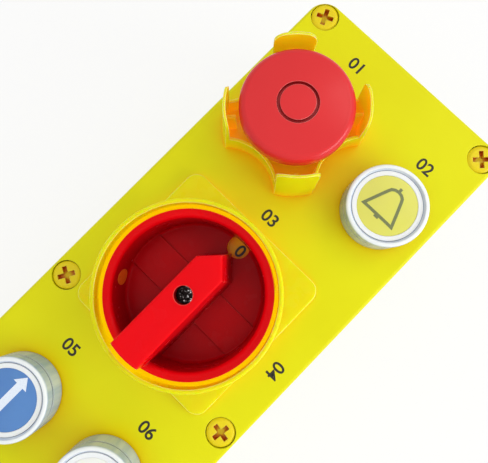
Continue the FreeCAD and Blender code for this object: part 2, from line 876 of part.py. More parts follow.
def make_fixed_contacts():
    """Make contacts below the buttons' bridges, and break contacts above the stop's bridge."""
    slot_floor = -d.neck_length - d.slot_depth
    meeting = bridge_top - d.bridge_thick - d.button_travel - d.contact_gap
    make = contact_bar(new_body("make_contact_master"), slot_floor, meeting)
    group("make_contacts", make, [(x, y, front, 0) for _, x, y in BUTTONS])
    under = bridge_top + d.contact_gap
    stop = contact_bar(new_body("break_contact_master"), under, under + d.bridge_thick)
    group("break_contacts", stop, [(stop_x, stop_y, front, 0)])


def make_button(name, x, y):
    """All pieces that one push button has to itself."""
    make_bezel(f"{name}_bezel", x, y)
    make_lens(f"{name}_lens", x, y)
    make_plunger(f"{name}_plunger", x, y)
    make_spring(f"{name}_spring", x, y, d.cup_plate)
    make_block(f"{name}_contact_block", x, y)
    make_bridge(f"{name}_contact_bridge", x, y)


def make_panel_fittings():
    """Gaskets, nuts and clamp screws, alike on all five push controls."""
    places = [(stop_x, stop_y)] + [(x, y) for _, x, y in BUTTONS]
    gasket = new_body("panel_gasket_master")
    bore = d.neck_radius + d.neck_gap
    revolve(gasket, [(bore, zero), (d.gasket_radius, zero), (d.gasket_radius, d.gasket_thick),
                     (bore, d.gasket_thick)])
    nut = new_body("panel_nut_master")
    pad(nut, hexagon(flat_on(nut, -d.cover_plate), d.nut_flats), d.nut_thick, down=True)
    pocket(nut, disc(nut, -d.cover_plate, d.neck_radius + d.thread_fit), d.nut_thick)
    clamp = new_body("clamp_screw_master")
    revolve(clamp, [(zero, d.clamp_head), (d.clamp_radius, d.clamp_head), (d.clamp_radius, zero),
                    (d.clamp_shank, zero), (d.clamp_shank, -d.clamp_length), (zero, -d.clamp_length)])
    cross_recess(clamp, d.clamp_head, d.clamp_recess, d.clamp_recess_width, d.clamp_recess_depth)
    doc.recompute()
    group("panel_gaskets", gasket.Shape, [(x, y, front, 0) for x, y in places])
    group("panel_nuts", nut.Shape, [(x, y, front, 0) for x, y in places])
    group("clamp_screws", clamp.Shape, [(cx, cy, front - d.neck_length, 0)
                                        for x, y in places for cx, cy in clamp_spots(x, y)])


def make_stop_guard():
    """Four tall lobes round the stop head, joined by low walls that curve inwards for the fingers."""
    body = new_body("stop_guard")
    low = d.gasket_thick
    floor = low + d.guard_plate
    bore = d.neck_radius + d.neck_gap
    inside = d.guard_lip - d.guard_lip_wall
    revolve(body, [(bore, low), (d.guard_foot, low), (d.guard_lip, d.guard_height),
                   (inside, d.guard_height), (d.guard_foot - d.guard_wall, floor), (bore, floor)])

    ribs = flat_on(body, low)
    half = d.rib_thick * HALF
    buried = d.guard_lip - d.guard_lip_wall * HALF * HALF
    rib = [((reach - aside) * DIAGONAL, (reach + aside) * DIAGONAL)
           for reach, aside in ((d.rib_reach, -half), (buried, -half), (buried, half), (d.rib_reach, half))]
    for corners in zip(*(quarter_turns(x, y) for x, y in rib)):
        outline(ribs, list(corners))
    pad(body, ribs, d.guard_height - d.rib_drop - low)

    waists = flat_on(body, low)
    far = d.bite_radius + d.waist_wall
    near = d.bite_radius - d.guard_wall
    lean = (d.bite_reach * d.bite_reach + far * far - buried * buried) / (2 * d.bite_reach * far)
    side = root(1 - lean * lean)
    waist = [(d.bite_reach - reach * lean, reach * side * end)
             for reach, end in ((far, 1), (far, -1), (near, -1), (near, 1))]
    for corners in zip(*(quarter_turns(x, y) for x, y in waist)):
        outline(waists, list(corners), {0: (far, 1), 2: (near, -1)})
    pad(body, waists, d.bite_height - low)
    top = d.guard_height
    bite = [(zero, zero), (d.bite_radius, zero), (d.bite_radius, top - d.lobe_round),
            (d.bite_radius + d.lobe_round, top), (zero, top)]
    for x, y in quarter_turns(d.bite_reach, zero):
        groove(body, bite, {2: (d.lobe_round, -1)}, x, y)
    return on_panel(body, stop_x, stop_y)


def make_stop():
    """Emergency stop: guard, mushroom head, cap, stem, bushing, spring and contact."""
    x, y = stop_x, stop_y
    make_stop_guard()
    seat = d.gasket_thick + d.guard_plate
    hub_bottom = seat + d.bushing_flange + d.stop_travel + d.hub_gap
    bushing = new_body("stop_bushing")
    revolve(bushing, [(ledge_bore, -d.neck_length), (ledge_bore, ledge_top), (d.neck_bore, ledge_top),
                      (d.neck_bore, seat + d.bushing_flange), (d.bushing_rim, seat + d.bushing_flange),
                      (d.bushing_rim, seat), (d.neck_radius, seat), (d.neck_radius, -d.neck_length)])
    on_panel(bushing, x, y)

    flat_radius = d.head_rim - d.head_edge
    crown = dome_radius(flat_radius, d.head_top - d.head_crease)
    cap_bore = d.cap_radius + d.cap_groove
    bore_edge = d.head_top - crown + root(crown * crown - cap_bore * cap_bore)
    cap_edge = d.head_top - crown + root(crown * crown - d.cap_radius * d.cap_radius)
    cap_seat = d.head_top - d.cap_depth
    socket = d.spigot_radius + d.press_fit
    head = new_body("stop_head")
    revolve(head, [(socket, hub_bottom), (d.hub_radius, hub_bottom), (d.hub_radius, d.head_under),
                   (d.head_rim - d.head_lower_edge, d.head_under),
                   (d.head_rim, d.head_under + d.head_lower_edge),
                   (d.head_rim, d.head_crease - d.head_edge), (flat_radius, d.head_crease),
                   (cap_bore, bore_edge), (cap_bore, cap_seat), (socket, cap_seat)],
            {3: (d.head_lower_edge, 1), 5: (d.head_edge, 1), 6: (crown, 1)})
    on_panel(head, x, y)

    cap = new_body("stop_cap")
    groove_floor = bore_edge - d.cap_groove_depth
    cap_rim = cap_bore - d.press_fit
    revolve(cap, [(zero, cap_seat), (cap_rim, cap_seat), (cap_rim, groove_floor),
                  (d.cap_radius, groove_floor), (d.cap_radius, cap_edge), (zero, d.head_top)],
            {4: (crown, 1)})
    on_panel(cap, x, y)

    stem = new_body("stop_stem")
    revolve(stem, [(zero, bridge_top), (d.foot_radius, bridge_top), (d.foot_radius, stem_end),
                   (d.stem_radius, stem_end), (d.stem_radius, hub_bottom), (d.spigot_radius, hub_bottom),
                   (d.spigot_radius, d.spigot_top), (zero, d.spigot_top)])
    on_panel(stem, x, y)
    make_spring("stop_spring", x, y, hub_bottom)
    make_block("stop_contact_block", x, y)
    make_bridge("stop_contact_bridge", x, y)


def fix_spots(x, y):
    """Places of the four screws that hold the rotary switch."""
    return [(x + side * d.fix_spread, y + end * d.fix_spread) for side in (-1, 1) for end in (-1, 1)]


def make_switch_collar():
    """Square front plate with the round dial under the knob and the tall collar that shields it."""
    body = new_body("switch_collar")
    pad(body, rounded_rectangle(flat_on(body), d.plate_side, d.plate_side, d.plate_corner),
        d.plate_thick)
    inside = d.collar_radius - d.collar_rim
    revolve(body, [(inside, zero), (d.collar_foot, zero), (d.collar_foot, d.plate_thick),
                   (d.collar_radius, d.collar_top - d.collar_round),
                   (d.collar_radius - d.collar_round, d.collar_top),
                   (inside, d.collar_top)], {3: (d.collar_round, 1)})
    dial_top = d.knob_floor - d.knob_floor_thick - d.dial_gap
    dial_radius = d.knob_radius - d.knob_skirt_wall - d.dial_gap
    pad(body, disc(body, d.plate_thick, dial_radius), dial_top - d.plate_thick)
    pocket(body, disc(body, dial_top, d.rotor_hole), dial_top)
    pocket(body, circles(flat_on(body, dial_top), fix_spots(zero, zero), d.fix_radius), dial_top)
    pocket(body, circles(flat_on(body, dial_top), fix_spots(zero, zero), d.fix_head + d.press_fit),
           dial_top - d.plate_thick + d.fix_head_depth)
    return on_panel(body, switch_x, switch_y)


def make_switch_knob():
    """Dished knob with a tapered pointer bar across it, a window and a sunk screw hole."""
    body = new_body("switch_knob")
    under = d.knob_floor - d.knob_floor_thick
    tail = d.knob_radius - d.bar_flare
    tail_y = -root(tail * tail - d.bar_half * d.bar_half)
    plan = flat_on(body, d.bar_top)
    outline(plan, [(-d.bar_half, tail_y), (d.bar_half, tail_y), (d.bar_half, d.bar_shoulder),
                   (zero, d.bar_point), (-d.bar_half, d.bar_shoulder)], {0: (tail, 1)})
    bar = pad(body, plan, d.bar_top - under, down=True)
    bind(bar, "TaperAngle", slope(d.bar_flare, d.bar_top - under))
    round_edges(body, d.bar_edge, lies_at(d.bar_top))
    bowl_wall = d.knob_floor_radius
    skirt_inside = d.knob_radius - d.knob_skirt_wall
    revolve(body, [(zero, d.knob_skirt), (d.knob_hub, d.knob_skirt), (d.knob_hub, under),
                   (skirt_inside, under), (skirt_inside, d.knob_skirt), (d.knob_radius, d.knob_skirt),
                   (d.knob_radius, d.knob_rim), (d.knob_mouth + d.knob_mouth_round, d.knob_rim),
                   (d.knob_mouth, d.knob_rim - d.knob_mouth_round),
                   (bowl_wall, d.knob_floor + d.knob_cove), (bowl_wall - d.knob_cove, d.knob_floor),
                   (zero, d.knob_floor)], {7: (d.knob_mouth_round, 1), 9: (d.knob_cove, -1)})
    band = rectangle(flat_on(body, d.knob_floor), 2 * bowl_wall, d.knob_band, zero, -d.knob_band_shift)
    pad(body, band, d.knob_band_rise)
    window = circles(flat_on(body, d.knob_floor + d.knob_cove), [(zero, d.window_reach)], d.window_radius)
    pocket(body, window, d.knob_floor)
    pocket(body, disc(body, d.bar_top, d.bar_hole), d.bar_hole_depth)
    pocket(body, disc(body, d.bar_top, d.knob_screw_shank + d.press_fit), d.bar_top - d.knob_skirt)
    pocket(body, disc(body, d.spindle_top, d.spindle_radius + d.press_fit), d.spindle_top)
    return on_panel(body, switch_x, switch_y)


def make_switch_drive():
    """Knob screw, spindle and cam, which all turn with the knob."""
    head_seat = d.bar_top - d.bar_hole_depth
    screw = new_body("knob_screw")
    revolve(screw, [(zero, head_seat + d.knob_screw_thick),
                    (d.knob_screw_head, head_seat + d.knob_screw_thick), (d.knob_screw_head, head_seat),
                    (d.knob_screw_shank, head_seat), (d.knob_screw_shank, head_seat - d.knob_screw_length),
                    (zero, head_seat - d.knob_screw_length)])
    cross_recess(screw, head_seat + d.knob_screw_thick, d.knob_recess, d.knob_recess_width,
                 d.knob_recess_depth)
    on_panel(screw, switch_x, switch_y)

    spindle = new_body("switch_spindle")
    tip = -d.cover_plate - d.switch_depth - d.end_bearing + d.contact_gap
    pad(spindle, disc(spindle, d.spindle_top, d.spindle_radius),
        d.spindle_top - tip, down=True)
    pocket(spindle, disc(spindle, d.spindle_top, d.knob_screw_shank + d.press_fit),
           d.spindle_top - head_seat + d.knob_screw_length + d.contact_gap)
    on_panel(spindle, switch_x, switch_y)

    cam = new_body("switch_cam")
    top = -d.cover_plate - d.switch_roof - d.cam_drop
    flat_end = root(d.cam_radius * d.cam_radius - d.cam_flat * d.cam_flat)
    plan = flat_on(cam, top)
    outline(plan, [(d.cam_flat, -flat_end), (d.cam_flat, flat_end), (-d.cam_flat, flat_end),
                   (-d.cam_flat, -flat_end)], {1: (d.cam_radius, 1), 3: (d.cam_radius, 1)})
    circles(plan, [(zero, zero)], d.spindle_radius + d.press_fit)
    pad(cam, plan, d.cam_thick, down=True)
    on_panel(cam, switch_x, switch_y)


def make_switch_body():
    """Cam switch behind the panel, its end plate and the four screws that hold it."""
    top = -d.cover_plate
    bearing = d.spindle_radius + d.spindle_fit
    body = new_body("switch_body")
    pad(body, rectangle(flat_on(body, top), d.switch_side, d.switch_side), d.switch_depth, down=True)
    low = top - d.switch_depth
    pocket(body, disc(body, low, d.switch_cavity),
           d.switch_depth - d.switch_roof, up=True)
    pocket(body, disc(body, top, bearing), d.switch_roof)
    pocket(body, circles(flat_on(body, top), fix_spots(zero, zero), d.fix_radius), d.fix_length)
    on_panel(body, switch_x, switch_y)

    plate = new_body("switch_end_plate")
    pad(plate, rectangle(flat_on(plate, low), d.switch_side, d.switch_side), d.end_plate, down=True)
    pocket(plate, disc(plate, low, bearing), d.end_bearing)
    on_panel(plate, switch_x, switch_y)

    screw = new_body("switch_fixing_master")
    head_low = d.plate_thick - d.fix_head_depth
    shank = d.fix_radius - d.press_fit
    revolve(screw, [(zero, d.plate_thick), (d.fix_head, d.plate_thick), (d.fix_head, head_low),
                    (shank, head_low), (shank, head_low - d.fix_length), (zero, head_low - d.fix_length)])
    doc.recompute()
    group("switch_fixings", screw.Shape, [(x, y, front, 0) for x, y in fix_spots(switch_x, switch_y)])


def check(item):
    """Stop if an object failed or a piece has no sound solid."""
    if {"Invalid", "Error"} & set(item.State):
        raise RuntimeError(f"{item.Label} did not build: {item.State}")
    if item in pieces and (item.Shape.isNull() or not item.Shape.isValid() or not item.Shape.Solids):
        raise RuntimeError(f"{item.Label} has no sound solid")


def write_pieces():
    """Check the whole document, then write each piece under its own name."""
    doc.recompute()
    for item in doc.Objects:
        check(item)
    os.makedirs("parts", exist_ok=True)
    for piece in pieces:
        piece.Shape.exportStep(os.path.join("parts", f"{piece.Label}.step"))


make_base_box()
make_cover()
make_cover_gasket()
make_cover_screws()
make_terminals()
make_gland()
make_stop()
for button in BUTTONS:
    make_button(*button)
make_fixed_contacts()
make_panel_fittings()
make_switch_collar()
make_switch_knob()
make_switch_drive()
make_switch_body()
write_pieces()
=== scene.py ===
import json
import logging
import math
from collections.abc import Callable, Sequence
from dataclasses import dataclass, field
from enum import Enum

import bmesh
import bpy
from mathutils import Euler, Matrix, Vector


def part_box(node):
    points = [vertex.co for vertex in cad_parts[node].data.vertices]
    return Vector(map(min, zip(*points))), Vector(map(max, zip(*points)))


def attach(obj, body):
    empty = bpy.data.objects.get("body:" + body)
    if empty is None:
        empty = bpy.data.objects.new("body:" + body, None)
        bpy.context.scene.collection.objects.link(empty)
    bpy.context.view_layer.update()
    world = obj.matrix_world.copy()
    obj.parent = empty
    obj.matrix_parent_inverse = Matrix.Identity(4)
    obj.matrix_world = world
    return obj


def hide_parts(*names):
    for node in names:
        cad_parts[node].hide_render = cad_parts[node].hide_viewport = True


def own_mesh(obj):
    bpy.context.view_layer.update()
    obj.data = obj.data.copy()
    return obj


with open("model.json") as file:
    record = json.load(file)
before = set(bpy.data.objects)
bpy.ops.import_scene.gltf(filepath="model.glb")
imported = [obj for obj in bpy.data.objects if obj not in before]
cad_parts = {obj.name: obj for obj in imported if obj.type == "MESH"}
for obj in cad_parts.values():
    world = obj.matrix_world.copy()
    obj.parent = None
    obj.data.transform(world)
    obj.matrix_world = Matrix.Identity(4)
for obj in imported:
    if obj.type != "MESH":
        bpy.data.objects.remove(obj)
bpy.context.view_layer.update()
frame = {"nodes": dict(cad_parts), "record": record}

log = logging.getLogger("inspection_box")

MM = 0.001
COVER_FACE = 75.0  # height of the cover's outer face above the back, in millimetres

WHITE = "ffffff"

PRINT_MM = 0.03  # half the thickness of a printed film
JOIN_MM = 1e-4  # corners of neighbouring outlines that are nearer than this are one
DIGIT_SHARE = 0.72  # height of a digit as a share of the font's size

# Sockets of the colour mix node, which has one set for each kind of data
MIX_FACTOR, MIX_FIRST, MIX_SECOND, MIX_RESULT = 0, 6, 7, 2
# Z of a normal on an upright wall and on a face that looks out of the cover
WALL_LEAN, FACE_LEAN = 0.3, 0.8
# Layers of finer noise in a patch, and how strong each is beside the one before
NOISE_DETAIL, NOISE_ROUGHNESS = 3.0, 0.55
# Noise values that become 0 and 1, for grain and tool lines, the flow of plastic, handled places, the breakup of
# painted wall shade, and flecks
SOFT_SPAN = (0.3, 0.7)
FLOW_SPAN = (0.32, 0.72)
HANDLED_SPAN = (0.35, 0.65)
WALL_SHADE_SPAN = (0.34, 0.66)
FLECK_SPAN = (0.45, 0.8)
# Rays that look for an edge and for a corner
EDGE_RAYS, NOOK_RAYS = 6, 8
# Cosine between the true and the rounded normal, on a flat and on a full edge
FLAT_MATCH, EDGE_MATCH = 0.99, 0.82
# Shares of its roughness between which a plastic and a metal vary
PLASTIC_SPREAD = (0.88, 1.12)
METAL_SPREAD = (0.85, 1.15)
# Share of a metal's roughness that its edges lose, and share of an ink's that its flecks reach
EDGE_POLISH, FLECK_ROUGHER = 0.25, 1.3
# How strongly the mould's grain and a tool's lines show
GRAIN_STRENGTH, LINE_STRENGTH = 0.35, 0.3
INK_IOR = 1.5
# Smallest cosine of a line's mitre, and the furthest that its corner reaches, in widths
MITRE_LEAST, MITRE_MOST = 0.3, 1.2

Colour = tuple[float, float, float, float]
Flat = tuple[float, float]


def linear(code: str) -> Colour:
    """Turn an sRGB hex code into the linear colour that shaders take.

    Args:
        code: six hex digits, with or without a leading hash.

    Returns:
        Red, green and blue as linear light, and full opacity.
    """
    digits = code.lstrip("#")
    parts = [int(digits[start:start + 2], 16) / 255 for start in (0, 2, 4)]
    red, green, blue = (part / 12.92 if part <= 0.04045 else ((part + 0.055) / 1.055) ** 2.4 for part in parts)
    return red, green, blue, 1.0


def per_size(size_mm: float) -> float:
    """Texture scale at which one feature is size_mm across."""
    return 1 / (size_mm * MM)


def add_node(tree: bpy.types.NodeTree, kind: str, settings: dict[str, object] | None = None,
             sockets: dict[str | int, object] | None = None) -> bpy.types.Node:
    """Add one node with its settings, socket values and links.

    Args:
        tree: node tree that takes the node.
        kind: type name of the node.
        settings: properties of the node by name.
        sockets: input sockets by name or number; an output socket as value is linked.

    Returns:
        The new node.
    """
    node = tree.nodes.new(kind)
    for name, value in (settings or {}).items():
        setattr(node, name, value)
    for key, value in (sockets or {}).items():
        if isinstance(value, bpy.types.NodeSocket):
            tree.links.new(value, node.inputs[key])
        else:
            node.inputs[key].default_value = value
    return node


def blank_material(name: str) -> tuple[bpy.types.Material, bpy.types.NodeTree]:
    """Make a material with an empty node tree.

    Args:
        name: name of the material and its process.

    Returns:
        The material and its tree.
    """
    material = bpy.data.materials.new(name)
    material.use_nodes = True
    material.node_tree.nodes.clear()
    return material, material.node_tree


def patches(tree: bpy.types.NodeTree, size_mm: float, span: tuple[float, float],
            stretch: tuple[float, float, float] = (1.0, 1.0, 1.0)) -> bpy.types.NodeSocket:
    """Soft random patches over the piece, from 0 to 1.

    Args:
        tree: node tree of the material.
        size_mm: size of one patch.
        span: noise values that become 0 and 1.
        stretch: how much finer the pattern runs along each axis.

    Returns:
        Output socket with the patch value.
    """
    place = add_node(tree, "ShaderNodeTexCoord")
    spread = add_node(tree, "ShaderNodeMapping", sockets={"Vector": place.outputs["Object"], "Scale": stretch})
    noise = add_node(tree, "ShaderNodeTexNoise", sockets={
        "Vector": spread.outputs["Vector"], "Scale": per_size(size_mm), "Detail": NOISE_DETAIL,
        "Roughness": NOISE_ROUGHNESS})
    faded = add_node(tree, "ShaderNodeMapRange", sockets={
        "Value": noise.outputs["Fac"], "From Min": span[0], "From Max": span[1]})
    return faded.outputs["Result"]


def find_edges(tree: bpy.types.NodeTree, edge_mm: float) -> tuple[bpy.types.NodeSocket, bpy.types.NodeSocket]:
    """Find the edges of a piece, and a normal that rounds them.

    Args:
        tree: node tree of the material.
        edge_mm: radius to which the edges are worn or moulded.

    Returns:
        Socket that is 1 on edges and 0 on flats, and socket of the rounded normal.
    """
    rounded = add_node(tree, "ShaderNodeBevel", {"samples": EDGE_RAYS}, {"Radius": edge_mm * MM})
    true = add_node(tree, "ShaderNodeNewGeometry")
    match = add_node(tree, "ShaderNodeVectorMath", {"operation": "DOT_PRODUCT"},
                     {0: rounded.outputs["Normal"], 1: true.outputs["Normal"]})
    span = add_node(tree, "ShaderNodeMapRange", sockets={
        "Value": match.outputs["Value"], "From Min": FLAT_MATCH, "From Max": EDGE_MATCH})
    return span.outputs["Result"], rounded.outputs["Normal"]


@dataclass(frozen=True)
class MouldedPlastic:
    """Injection-moulded plastic: even colour, a fine mould texture, paler edges that are partly wear and partly a
    painted highlight, and where set painted shade and painted light.

    Colours are sRGB hex codes, and lengths are millimetres.
    """

    name: str
    colour: str
    deep: str
    # Paler colour of the edges: partly worn by hands, partly a painted highlight
    worn_and_highlit_edge: str
    roughness: float
    ior: float
    grain_mm: float
    grain_height_mm: float
    edge_mm: float
    flow_mm: float = 45.0
    # Size of the places where hands wear the edges, and how much of the paler edge colour (wear and painted
    # highlight) stays between them
    handled_mm: float = 9.0
    least_worn: float = 0.4
    # Share of light that goes into the plastic, and how far each colour spreads there
    glow: float = 0.0
    glow_mm: tuple[float, float, float] = (1.5, 1.1, 0.4)
    gloss: float = 0.5
    # Colour of painted shade on upright walls, its least share, and how wide and long the noise patches that break it
    # up are
    wall: str | None = None
    least_wall_shade: float = 0.5
    wall_shade_mm: float = 5.0
    wall_shade_stretch: tuple[float, float, float] = (1.0, 1.0, 0.08)
    # Colour of painted shade down in corners, how near other surfaces are there, and the open share at its start and
    # its full depth
    nook_shade: str | None = None
    nook_mm: float = 2.0
    nook_span: tuple[float, float] = (0.72, 0.3)
    own_nooks: bool = True
    face_nooks: bool = False
    # Strength of painted light in the corners, an emission that stands in for light that thin plastic carries there,
    # and its colour where only walls get it
    carried: float = 0.0
    painted_wall_light: str | None = None

    def paint_nook_shade(self, tree: bpy.types.NodeTree, tone: bpy.types.NodeSocket,
                   lean: bpy.types.NodeSocket) -> tuple[bpy.types.NodeSocket, dict[str | int, object]]:
        """Paint shade into the corners of the piece, and add painted light there that stands in for light the plastic
        carries.

        Args:
            tree: node tree of the material.
            tone: socket with the colour of the open faces.
            lean: socket with the Z of the normal, 1 on faces that look out of the cover and 0 on upright walls.

        Returns:
            Socket with the colour, and the shader's emission sockets for the painted light.
        """
        # Painted shade: occlusion finds corners, recesses and gaps, which turn towards the nook colour
        closed = add_node(tree, "ShaderNodeAmbientOcclusion", {"samples": NOOK_RAYS, "only_local": self.own_nooks},
                          {"Distance": self.nook_mm * MM})
        depth = add_node(tree, "ShaderNodeMapRange", sockets={
            "Value": closed.outputs["AO"], "From Min": self.nook_span[0], "From Max": self.nook_span[1]})
        shade = depth
        if self.face_nooks:
            shade = add_node(tree, "ShaderNodeMapRange", sockets={
                "Value": lean, "From Min": WALL_LEAN, "From Max": FACE_LEAN, "To Max": depth.outputs["Result"]})
        nook_shaded = add_node(tree, "ShaderNodeMix", {"data_type": "RGBA"}, {
            MIX_FACTOR: shade.outputs["Result"], MIX_FIRST: tone, MIX_SECOND: linear(self.nook_shade)})
        if not self.carried:
            return nook_shaded.outputs[MIX_RESULT], {}
        # Painted light: an emission in the corners, as strong as they are deep
        light = add_node(tree, "ShaderNodeMapRange", sockets={
            "Value": depth.outputs["Result"], "To Max": self.carried})
        if self.painted_wall_light is not None:
            light = add_node(tree, "ShaderNodeMapRange", sockets={
                "Value": lean, "From Min": FACE_LEAN, "From Max": WALL_LEAN, "To Max": light.outputs["Result"]})
        return nook_shaded.outputs[MIX_RESULT], {"Emission Color": linear(self.painted_wall_light or self.nook_shade),
                                            "Emission Strength": light.outputs["Result"]}

    def material(self) -> bpy.types.Material:
        """Build the finish as a node material.

        Returns:
            The material, named for what it is made of and how.
        """
        material, tree = blank_material(self.name)
        edges, soft_normal = find_edges(tree, self.edge_mm)
        flow = patches(tree, self.flow_mm, FLOW_SPAN)
        speck = patches(tree, self.grain_mm, SOFT_SPAN)
        handled = patches(tree, self.handled_mm, HANDLED_SPAN)
        worn = add_node(tree, "ShaderNodeMapRange", sockets={"Value": handled, "To Min": self.least_worn})
        # Paler edges: partly wear where hands go, partly a painted highlight along every edge
        edge_mark_share = add_node(tree, "ShaderNodeMath", {"operation": "MULTIPLY"}, {0: edges, 1: worn.outputs["Result"]})
        base = add_node(tree, "ShaderNodeMix", {"data_type": "RGBA"}, {
            MIX_FACTOR: flow, MIX_FIRST: linear(self.colour), MIX_SECOND: linear(self.deep)})
        worn_and_highlit_edge = add_node(tree, "ShaderNodeMix", {"data_type": "RGBA"}, {
            MIX_FACTOR: edge_mark_share.outputs["Value"], MIX_FIRST: base.outputs[MIX_RESULT],
            MIX_SECOND: linear(self.worn_and_highlit_edge)})
        tone = worn_and_highlit_edge.outputs[MIX_RESULT]
        lean = add_node(tree, "ShaderNodeSeparateXYZ", sockets={0: soft_normal}).outputs["Z"]
        # Painted shade: upright walls turn towards the wall colour, broken up by noise
        if self.wall is not None:
            wall_shade_breakup = patches(tree, self.wall_shade_mm, WALL_SHADE_SPAN, self.wall_shade_stretch)
            # Share of the painted wall shade at each place
            thin = add_node(tree, "ShaderNodeMapRange", sockets={"Value": wall_shade_breakup, "To Min": self.least_wall_shade})
            upright = add_node(tree, "ShaderNodeMapRange", sockets={
                "Value": lean, "From Min": FACE_LEAN, "From Max": WALL_LEAN, "To Max": thin.outputs["Result"]})
            wall_shaded = add_node(tree, "ShaderNodeMix", {"data_type": "RGBA"}, {
                MIX_FACTOR: upright.outputs["Result"], MIX_FIRST: tone, MIX_SECOND: linear(self.wall)})
            tone = wall_shaded.outputs[MIX_RESULT]
        light: dict[str | int, object] = {}
        if self.nook_shade is not None:
            tone, light = self.paint_nook_shade(tree, tone, lean)
        sheen = add_node(tree, "ShaderNodeMapRange", sockets={
            "Value": worn.outputs["Result"], "To Min": self.roughness * PLASTIC_SPREAD[0],
            "To Max": self.roughness * PLASTIC_SPREAD[1]})
        texture = add_node(tree, "ShaderNodeBump", sockets={
            "Strength": GRAIN_STRENGTH, "Distance": self.grain_height_mm * MM, "Height": speck,
            "Normal": soft_normal})
        shader = add_node(tree, "ShaderNodeBsdfPrincipled", sockets={
            "Base Color": tone,
            "Roughness": sheen.outputs["Result"],
            "IOR": self.ior,
            "Specular IOR Level": self.gloss,
            "Subsurface Weight": self.glow,
            "Subsurface Radius": self.glow_mm,
            "Subsurface Scale": MM,
            "Normal": texture.outputs["Normal"],
            **light})
        add_node(tree, "ShaderNodeOutputMaterial", sockets={"Surface": shader.outputs["BSDF"]})
        return material


@dataclass(frozen=True)
class Metal:
    """Bare or plated metal: clear colour, tool lines and faint tarnish patches.

    Colours are sRGB hex codes, and lengths are millimetres.
    """

    name: str
    colour: str
    tarnish: str
    roughness: float
    line_mm: float
    line_height_mm: float
    line_stretch: tuple[float, float, float]
    edge_mm: float
    stain_mm: float = 7.0
    stain_span: tuple[float, float] = (0.48, 0.8)

    def material(self) -> bpy.types.Material:
        """Build the finish as a node material.

        Returns:
            The material, named for what it is made of and how.
        """
        material, tree = blank_material(self.name)
        edges, soft_normal = find_edges(tree, self.edge_mm)
        lines = patches(tree, self.line_mm, SOFT_SPAN, self.line_stretch)
        stains = patches(tree, self.stain_mm, self.stain_span)
        tone = add_node(tree, "ShaderNodeMix", {"data_type": "RGBA"}, {
            MIX_FACTOR: stains, MIX_FIRST: linear(self.colour), MIX_SECOND: linear(self.tarnish)})
        texture = add_node(tree, "ShaderNodeBump", sockets={
            "Strength": LINE_STRENGTH, "Distance": self.line_height_mm * MM, "Height": lines,
            "Normal": soft_normal})
        sheen = add_node(tree, "ShaderNodeMapRange", sockets={
            "Value": lines, "To Min": self.roughness * METAL_SPREAD[0], "To Max": self.roughness * METAL_SPREAD[1]})
        polished = add_node(tree, "ShaderNodeMath", {"operation": "MULTIPLY_ADD"}, {
            0: edges, 1: -EDGE_POLISH * self.roughness, 2: sheen.outputs["Result"]})
        shader = add_node(tree, "ShaderNodeBsdfPrincipled", sockets={
            "Base Color": tone.outputs[MIX_RESULT], "Metallic": 1.0, "Roughness": polished.outputs["Value"],
            "Normal": texture.outputs["Normal"]})
        add_node(tree, "ShaderNodeOutputMaterial", sockets={"Surface": shader.outputs["BSDF"]})
        return material


@dataclass(frozen=True)
class PrintedInk:
    """Screen-printed ink: a flat dark film that thins out in small flecks."""

    name: str
    colour: str
    thin: str
    roughness: float
    fleck_mm: float

    def material(self) -> bpy.types.Material:
        """Build the finish as a node material.

        Returns:
            The material, named for what it is made of and how.
        """
        material, tree = blank_material(self.name)
        flecks = patches(tree, self.fleck_mm, FLECK_SPAN)
        tone = add_node(tree, "ShaderNodeMix", {"data_type": "RGBA"}, {
            MIX_FACTOR: flecks, MIX_FIRST: linear(self.colour), MIX_SECOND: linear(self.thin)})
        sheen = add_node(tree, "ShaderNodeMapRange", sockets={
            "Value": flecks, "To Min": self.roughness, "To Max": min(1.0, self.roughness * FLECK_ROUGHER)})
        shader = add_node(tree, "ShaderNodeBsdfPrincipled", sockets={
            "Base Color": tone.outputs[MIX_RESULT], "Roughness": sheen.outputs["Result"], "IOR": INK_IOR})
        add_node(tree, "ShaderNodeOutputMaterial", sockets={"Surface": shader.outputs["BSDF"]})
        return material


Finish = MouldedPlastic | Metal | PrintedInk
